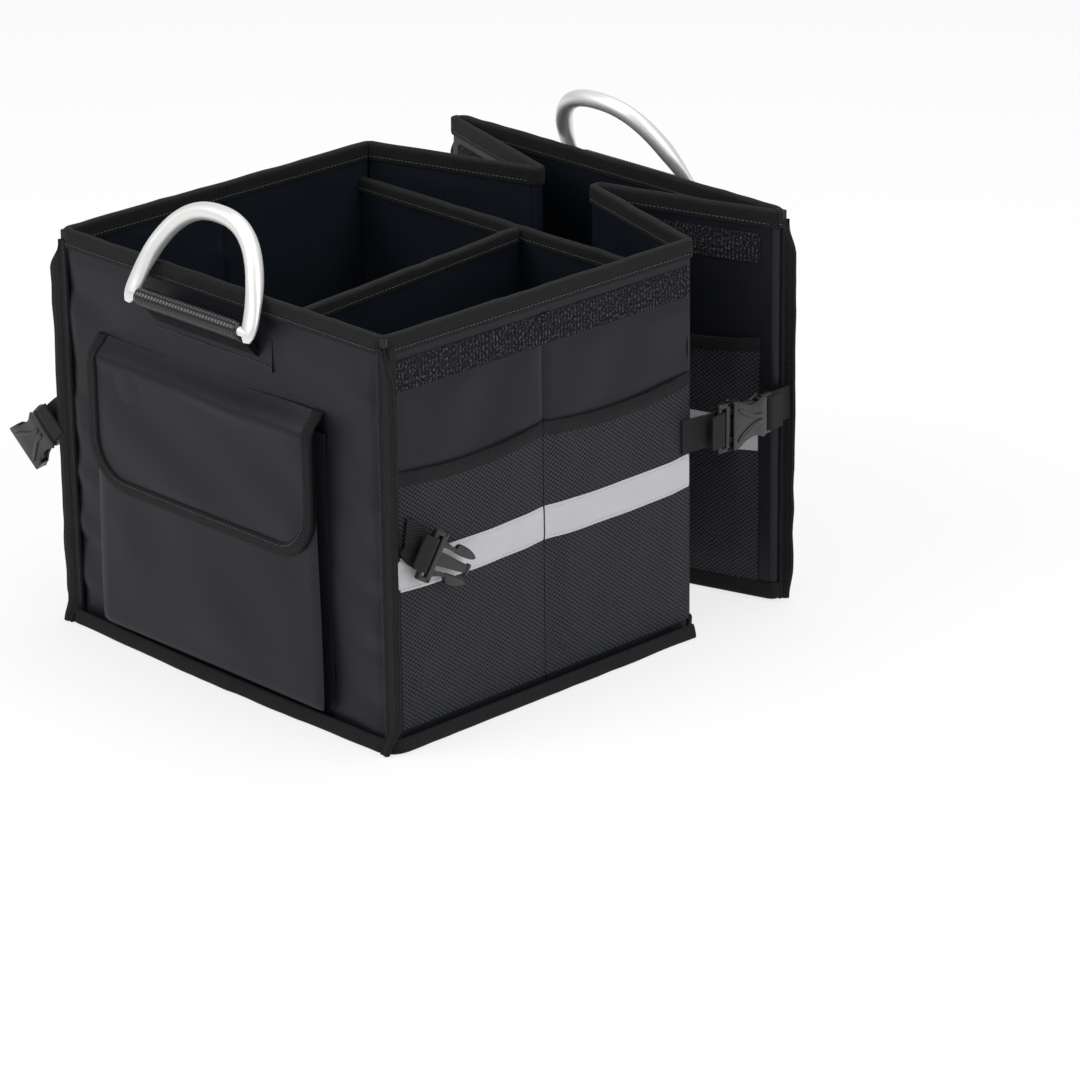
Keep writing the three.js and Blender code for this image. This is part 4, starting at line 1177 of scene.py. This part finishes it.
def plate(build, place, points, low, high, bevel=0.7):
    """A moulded plate from an outline of (y, z) points, with rounded edges."""
    points = np.array(points, float)
    ahead, behind = np.roll(points, -1, 0) - points, points - np.roll(points, 1, 0)
    normals = []
    for a, b in zip(ahead, behind):
        n = np.array([a[1], -a[0]]) / np.linalg.norm(a) + np.array([b[1], -b[0]]) / np.linalg.norm(b)
        normals.append(n / max(np.linalg.norm(n), 1e-6))
    area = np.sum(points[:, 0] * np.roll(points[:, 1], -1) - points[:, 1] * np.roll(points[:, 0], -1))
    normals = np.array(normals) * (1 if area > 0 else -1)
    rings = []
    for x, inset in ((low, bevel), (low + bevel * 0.3, bevel * 0.3), (low + bevel, 0), (high - bevel, 0),
                     (high - bevel * 0.3, bevel * 0.3), (high, bevel)):
        rings.append([place.at(x, y, z) for y, z in points - normals * inset])
    build.sweep(rings)


def curve(points, count=40):
    """A closed smooth outline through a few points."""
    points = np.array(points, float)
    n = len(points)
    result = []
    for i in range(n):
        a, b, c, d = (points[(i + k) % n] for k in (-1, 0, 1, 2))
        for t in np.linspace(0, 1, max(2, count // n), endpoint=False):
            result.append(0.5 * (2 * b + (c - a) * t + (2 * a - 5 * b + 4 * c - d) * t * t
                                 + (3 * b - a - 3 * c + d) * t ** 3))
    return result


WEB_THICK = 1.7
WEB_WIDTH = 25.0
WEB_WRAP = 3.7        # from the buckle's bar to the webbing round it
BUCKLE_HALF = 18.5    # half the buckle's width
MALE_BAR = 12.0       # length of the male half's frame
TONGUE = 30.0         # length of its prongs
FEMALE_BAR = 8.0      # length of the female half's frame
HOUSING = 34.0        # length of its housing
CLASP_GAP = 0.8       # play between clasped halves
STRAP_HEIGHT = 156.0  # of the straps' seams above the floor
TRIM_FACE = 2.6       # how far the side walls' trim stands out


def rounded(y0, y1, z0, z1, r=1.5):
    result = []
    corners = ((y1 - r, z0 + r, -90), (y1 - r, z1 - r, 0), (y0 + r, z1 - r, 90), (y0 + r, z0 + r, 180))
    for cy, cz, start in corners:
        for a in np.radians(np.linspace(start, start + 90, 4)):
            result.append((cy + r * math.cos(a), cz + r * math.sin(a)))
    return result


def bar_frame(build, place, half, length, thick):
    """The frame that the webbing wraps: a bar at each end and a rail at each side."""
    plate(build, place, rounded(0, 3.2, -half, half), -thick / 2, thick / 2, 1.2)
    plate(build, place, rounded(length - 4.6, length, -half, half), -thick / 2, thick / 2, 1.0)
    for end in (-1, 1):
        z = sorted((end * (half - 3.6), end * half))
        plate(build, place, rounded(0.3, length - 0.3, *z), -thick / 2, thick / 2, 1.0)


def male_half(name, node_name, place, body):
    """A frame, a middle guide and two sprung prongs with leaf-shaped catches."""
    build = Build()
    bar_frame(build, place, BUCKLE_HALF, MALE_BAR, 4.6)
    tip = MALE_BAR + TONGUE
    for end in (-1, 1):
        stem = [(MALE_BAR - 1, end * 8.6), (MALE_BAR + 9, end * 8.0), (MALE_BAR + 15, end * 8.0),
                (MALE_BAR + 15, end * 11.0), (MALE_BAR + 7, end * 11.0), (MALE_BAR - 1, end * 13.4)]
        leaf = curve([
            (MALE_BAR + 11, end * 7.9), (tip - 11, end * 6.9), (tip - 3, end * 7.4), (tip, end * 9.4),
            (tip - 3.5, end * 12.2), (tip - 11, end * 14.2), (MALE_BAR + 13.5, end * 14.0),
            (MALE_BAR + 11.5, end * 11.2),
        ])
        plate(build, place, stem, -1.9, 1.9, 0.7)
        plate(build, place, leaf, -2.5, 2.5, 1.1)
    guide = [(MALE_BAR - 1, -5.2), (tip - 6, -3.2), (tip - 2.6, -3.4), (tip - 2.6, 3.4), (tip - 6, 3.2),
             (MALE_BAR - 1, 5.2)]
    plate(build, place, guide, -1.3, 1.3, 0.6)
    plate(build, place, rounded(tip - 3.4, tip - 0.6, -4.2, 4.2, 1.0), -1.9, 1.9, 0.8)
    build.piece(name, body, PLASTIC, replaces=(node_name,), sharp=50)


def female_half(name, node_name, place, body):
    """A waisted housing, open at its mouth and at its sides, with a raised teardrop on each face."""
    build = Build()
    bar_frame(build, place, BUCKLE_HALF - 3, FEMALE_BAR + 3, 4.6)
    mouth = FEMALE_BAR + HOUSING
    half = BUCKLE_HALF
    sides = [(FEMALE_BAR, half - 4.5), (FEMALE_BAR + 3, half - 2.6), (FEMALE_BAR + 9, half - 5.6),
             (FEMALE_BAR + 15, half - 6.0), (FEMALE_BAR + 22, half - 4.2), (FEMALE_BAR + 27, half - 1.2),
             (mouth - 1, half), (mouth, half - 0.8)]
    outline = sides + [(y, -z) for y, z in sides[::-1]]
    plate(build, place, outline, 2.8, 4.9, 0.9)
    plate(build, place, outline, -4.9, -2.8, 0.9)
    neck = rounded(FEMALE_BAR - 0.5, FEMALE_BAR + 6.5, 4.5 - half, half - 4.5)
    plate(build, place, neck, -3.6, 3.6, 0.8)
    for end in (-1, 1):
        lip = [
            (mouth - 8, end * (half - 4.0)), (mouth - 8, end * (half - 1.2)),
            (mouth - 0.3, end * (half - 0.4)), (mouth - 0.3, end * (half - 3.4)),
        ]
        plate(build, place, lip, -3.4, 3.4, 0.4)
        for face in (-1, 1):
            low, high = sorted((face * 4.5, face * 6.0))
            ridge = curve([(FEMALE_BAR + 5, end * 1.0), (FEMALE_BAR + 12, end * 1.0), (mouth - 10, end * 6.5),
                           (mouth - 4, end * 11.5), (mouth - 5, end * 13.0), (mouth - 12, end * 9.6),
                           (FEMALE_BAR + 13, end * 5.0), (FEMALE_BAR + 6, end * 4.2)], 32)
            plate(build, place, ridge, low, high, 0.7)
    build.piece(name, body, PLASTIC, replaces=(node_name,), sharp=50)


def strap(label, seam, buckle, body):
    """Webbing from its seam to the buckle's bar, round it and back."""
    start, meet = seam.at(0, 0, 0), buckle.at(-WEB_WRAP, -2, 0)
    pull = np.linalg.norm(meet - start) * 0.4
    controls = [start, start + seam.y * pull, meet - buckle.y * pull, meet]
    rings = []

    def ring(centre, x, z):
        x = x / np.linalg.norm(x)
        z = z / np.linalg.norm(z)
        section = [(-0.5, 1)] + [(0.5, b) for b in (1, 0.55, -0.55, -1)]
        section += [(-0.5, b) for b in (-1, -0.55, 0.55)]
        return [centre + x * WEB_THICK * a + z * WEB_WIDTH / 2 * b for a, b in section]

    for s in np.linspace(0, 1, 12):
        a, b, c, d = controls
        centre = (1 - s) ** 3 * a + 3 * s * (1 - s) ** 2 * b + 3 * s * s * (1 - s) * c + s ** 3 * d
        tangent = (1 - s) ** 2 * (b - a) + 2 * s * (1 - s) * (c - b) + s * s * (d - c)
        tangent /= np.linalg.norm(tangent)
        share = s ** 3
        z = seam.z * (1 - share) + buckle.z * share
        z = z - tangent * (z @ tangent)
        rings.append(ring(centre, np.cross(tangent, z), z))
    for a in np.linspace(0, math.pi, 10):
        centre = buckle.at(-WEB_WRAP * math.cos(a), 1.5 + WEB_WRAP * math.sin(a), 0)
        rings.append(ring(centre, buckle.x * math.cos(a) - buckle.y * math.sin(a), buckle.z))
    for y in (0.0, -3.0, -6.0, -9.0):
        rings.append(ring(buckle.at(WEB_WRAP, y, 0), -buckle.x, buckle.z))
    swept(rings).piece(f"{label}_webbing", body, WEBBING, replaces=(f"{label}_strap",))


def straps():
    """The loose pair at the near corners and the clasped pairs that bridge the folded bay."""
    height, side_face = STRAP_HEIGHT, HALF + TRIM_FACE
    y = NEAR + INNER + 6.5
    seam = Place((side_face + 1.1, y, height + 1), (1, 0, 0), (0.25, 1, -0.15))
    droop = math.radians(31)
    buckle = Place(
        (side_face + 7, y + 13, height - 13), (1, -0.1, 0), (0.1, math.cos(droop), -math.sin(droop)),
    )
    strap("near_right", seam, buckle, "root")
    male_half("near_right_buckle_half", "near_right_buckle", buckle, "root")
    corner = -HALF - 4.8
    yaw, turn = math.radians(10), math.radians(42)
    seam = Place((corner, NEAR + BOARD / 2, height + 3), (0, -1, 0), (-1, 0, 0))
    buckle = Place(
        (corner - 16, NEAR, height - 7), (math.sin(yaw), -math.cos(yaw), 0),
        (-math.cos(turn), 0, -math.sin(turn)),
    )
    strap("near_left", seam, buckle, "root")
    female_half("near_left_buckle_half", "near_left_buckle", buckle, "root")

    depth = FAR_CORNER[1] - MIDDLE
    lead = (depth - (MALE_BAR + CLASP_GAP + HOUSING + FEMALE_BAR)) / 2
    for label, side in SIDES:
        bar = side * (HALF + 9.6)
        near_seam = Place((side * side_face, MIDDLE - 9, height), (side, 0, 0), (0, 1, 0))
        near_bar = Place((bar, MIDDLE + lead, height), (side, 0, 0), (0, 1, 0))
        far_seam = Place((side * (HALF + 5.6), FAR_CORNER[1] + 4.5, height), (side, 0, 0), (0, -1, 0))
        far_bar = Place((bar, FAR_CORNER[1] - lead, height), (side, 0, 0), (0, -1, 0))
        strap(f"middle_{label}", near_seam, near_bar, "root")
        strap(f"far_{label}", far_seam, far_bar, "far_end")
        halves = (male_half, female_half) if side > 0 else (female_half, male_half)
        halves[0](f"middle_{label}_buckle_half", f"middle_{label}_buckle", near_bar, "root")
        halves[1](f"far_{label}_buckle_half", f"far_{label}_buckle", far_bar, "far_end")


# Floor, world and lamps

FLOOR_REACH = 6.0
FLOOR_COLOR = (0.86, 0.86, 0.87, 1)
FLOOR_GLOW = 0.72     # share of plain white in the floor as the camera sees it
WORLD_LIGHT = 0.5
LAMPS = [
    ("key", (-0.9, -2.4, 2.4), 2.0, 56),
    ("side", (2.6, 0.2, 1.6), 1.8, 30),
    ("top", (0.2, 0.6, 3.2), 2.2, 46),
]
LAMPS_AIM = (0, 0.05, 0.15)


def plain_surroundings():
    scene = bpy.context.scene
    scene.view_settings.view_transform = "Standard"
    data = bpy.data.meshes.new("floor")
    corners = [(x * FLOOR_REACH, y * FLOOR_REACH, 0) for x, y in ((-1, -1), (1, -1), (1, 1), (-1, 1))]
    data.from_pydata(corners, [], [(0, 1, 2, 3)])
    floor = bpy.data.objects.new("floor", data)
    scene.collection.objects.link(floor)
    made = bpy.data.materials.new("floor")
    made.use_nodes = True
    tree = made.node_tree
    tree.nodes.clear()
    diffuse = node(made, "ShaderNodeBsdfDiffuse", Color=FLOOR_COLOR)
    glow = node(made, "ShaderNodeEmission", Color=(1, 1, 1, 1), Strength=1.0)
    rays = node(made, "ShaderNodeLightPath")
    seen = math_node(made, "MAXIMUM", rays.outputs["Is Camera Ray"], rays.outputs["Is Glossy Ray"])
    share = times(made, seen, FLOOR_GLOW)
    mix = node(made, "ShaderNodeMixShader", _0=share, _1=diffuse.outputs[0], _2=glow.outputs[0])
    out = tree.nodes.new("ShaderNodeOutputMaterial")
    tree.links.new(mix.outputs[0], out.inputs[0])
    data.materials.append(made)

    world = bpy.data.worlds.new("world")
    scene.world = world
    world.use_nodes = True
    rays = node(world, "ShaderNodeLightPath")
    seen = math_node(world, "MAXIMUM", rays.outputs["Is Camera Ray"], rays.outputs["Is Transmission Ray"])
    background = world.node_tree.nodes["Background"]
    background.inputs[0].default_value = (1, 1, 1, 1)
    world.node_tree.links.new(ramp(world, seen, WORLD_LIGHT, 1.0), background.inputs[1])

    for name, place, size, power in LAMPS:
        lamp = bpy.data.lights.new(name, "AREA")
        lamp.size = size
        lamp.energy = power
        holder = bpy.data.objects.new(name, lamp)
        holder.location = place
        aim = Vector(LAMPS_AIM) - Vector(place)
        holder.rotation_euler = aim.to_track_quat("-Z", "Y").to_euler()
        scene.collection.objects.link(holder)


plain_surroundings()
end_panels()
upright_bindings()
near_hem()
near_side_walls()
leaf_walls()
folds()
far_hem()
far_floor()
all_trim()
loose_boards()
pockets()
for prefix, wall, body in ENDS:
    handle(prefix, wall)
    sleeve(prefix, wall, body)
straps()
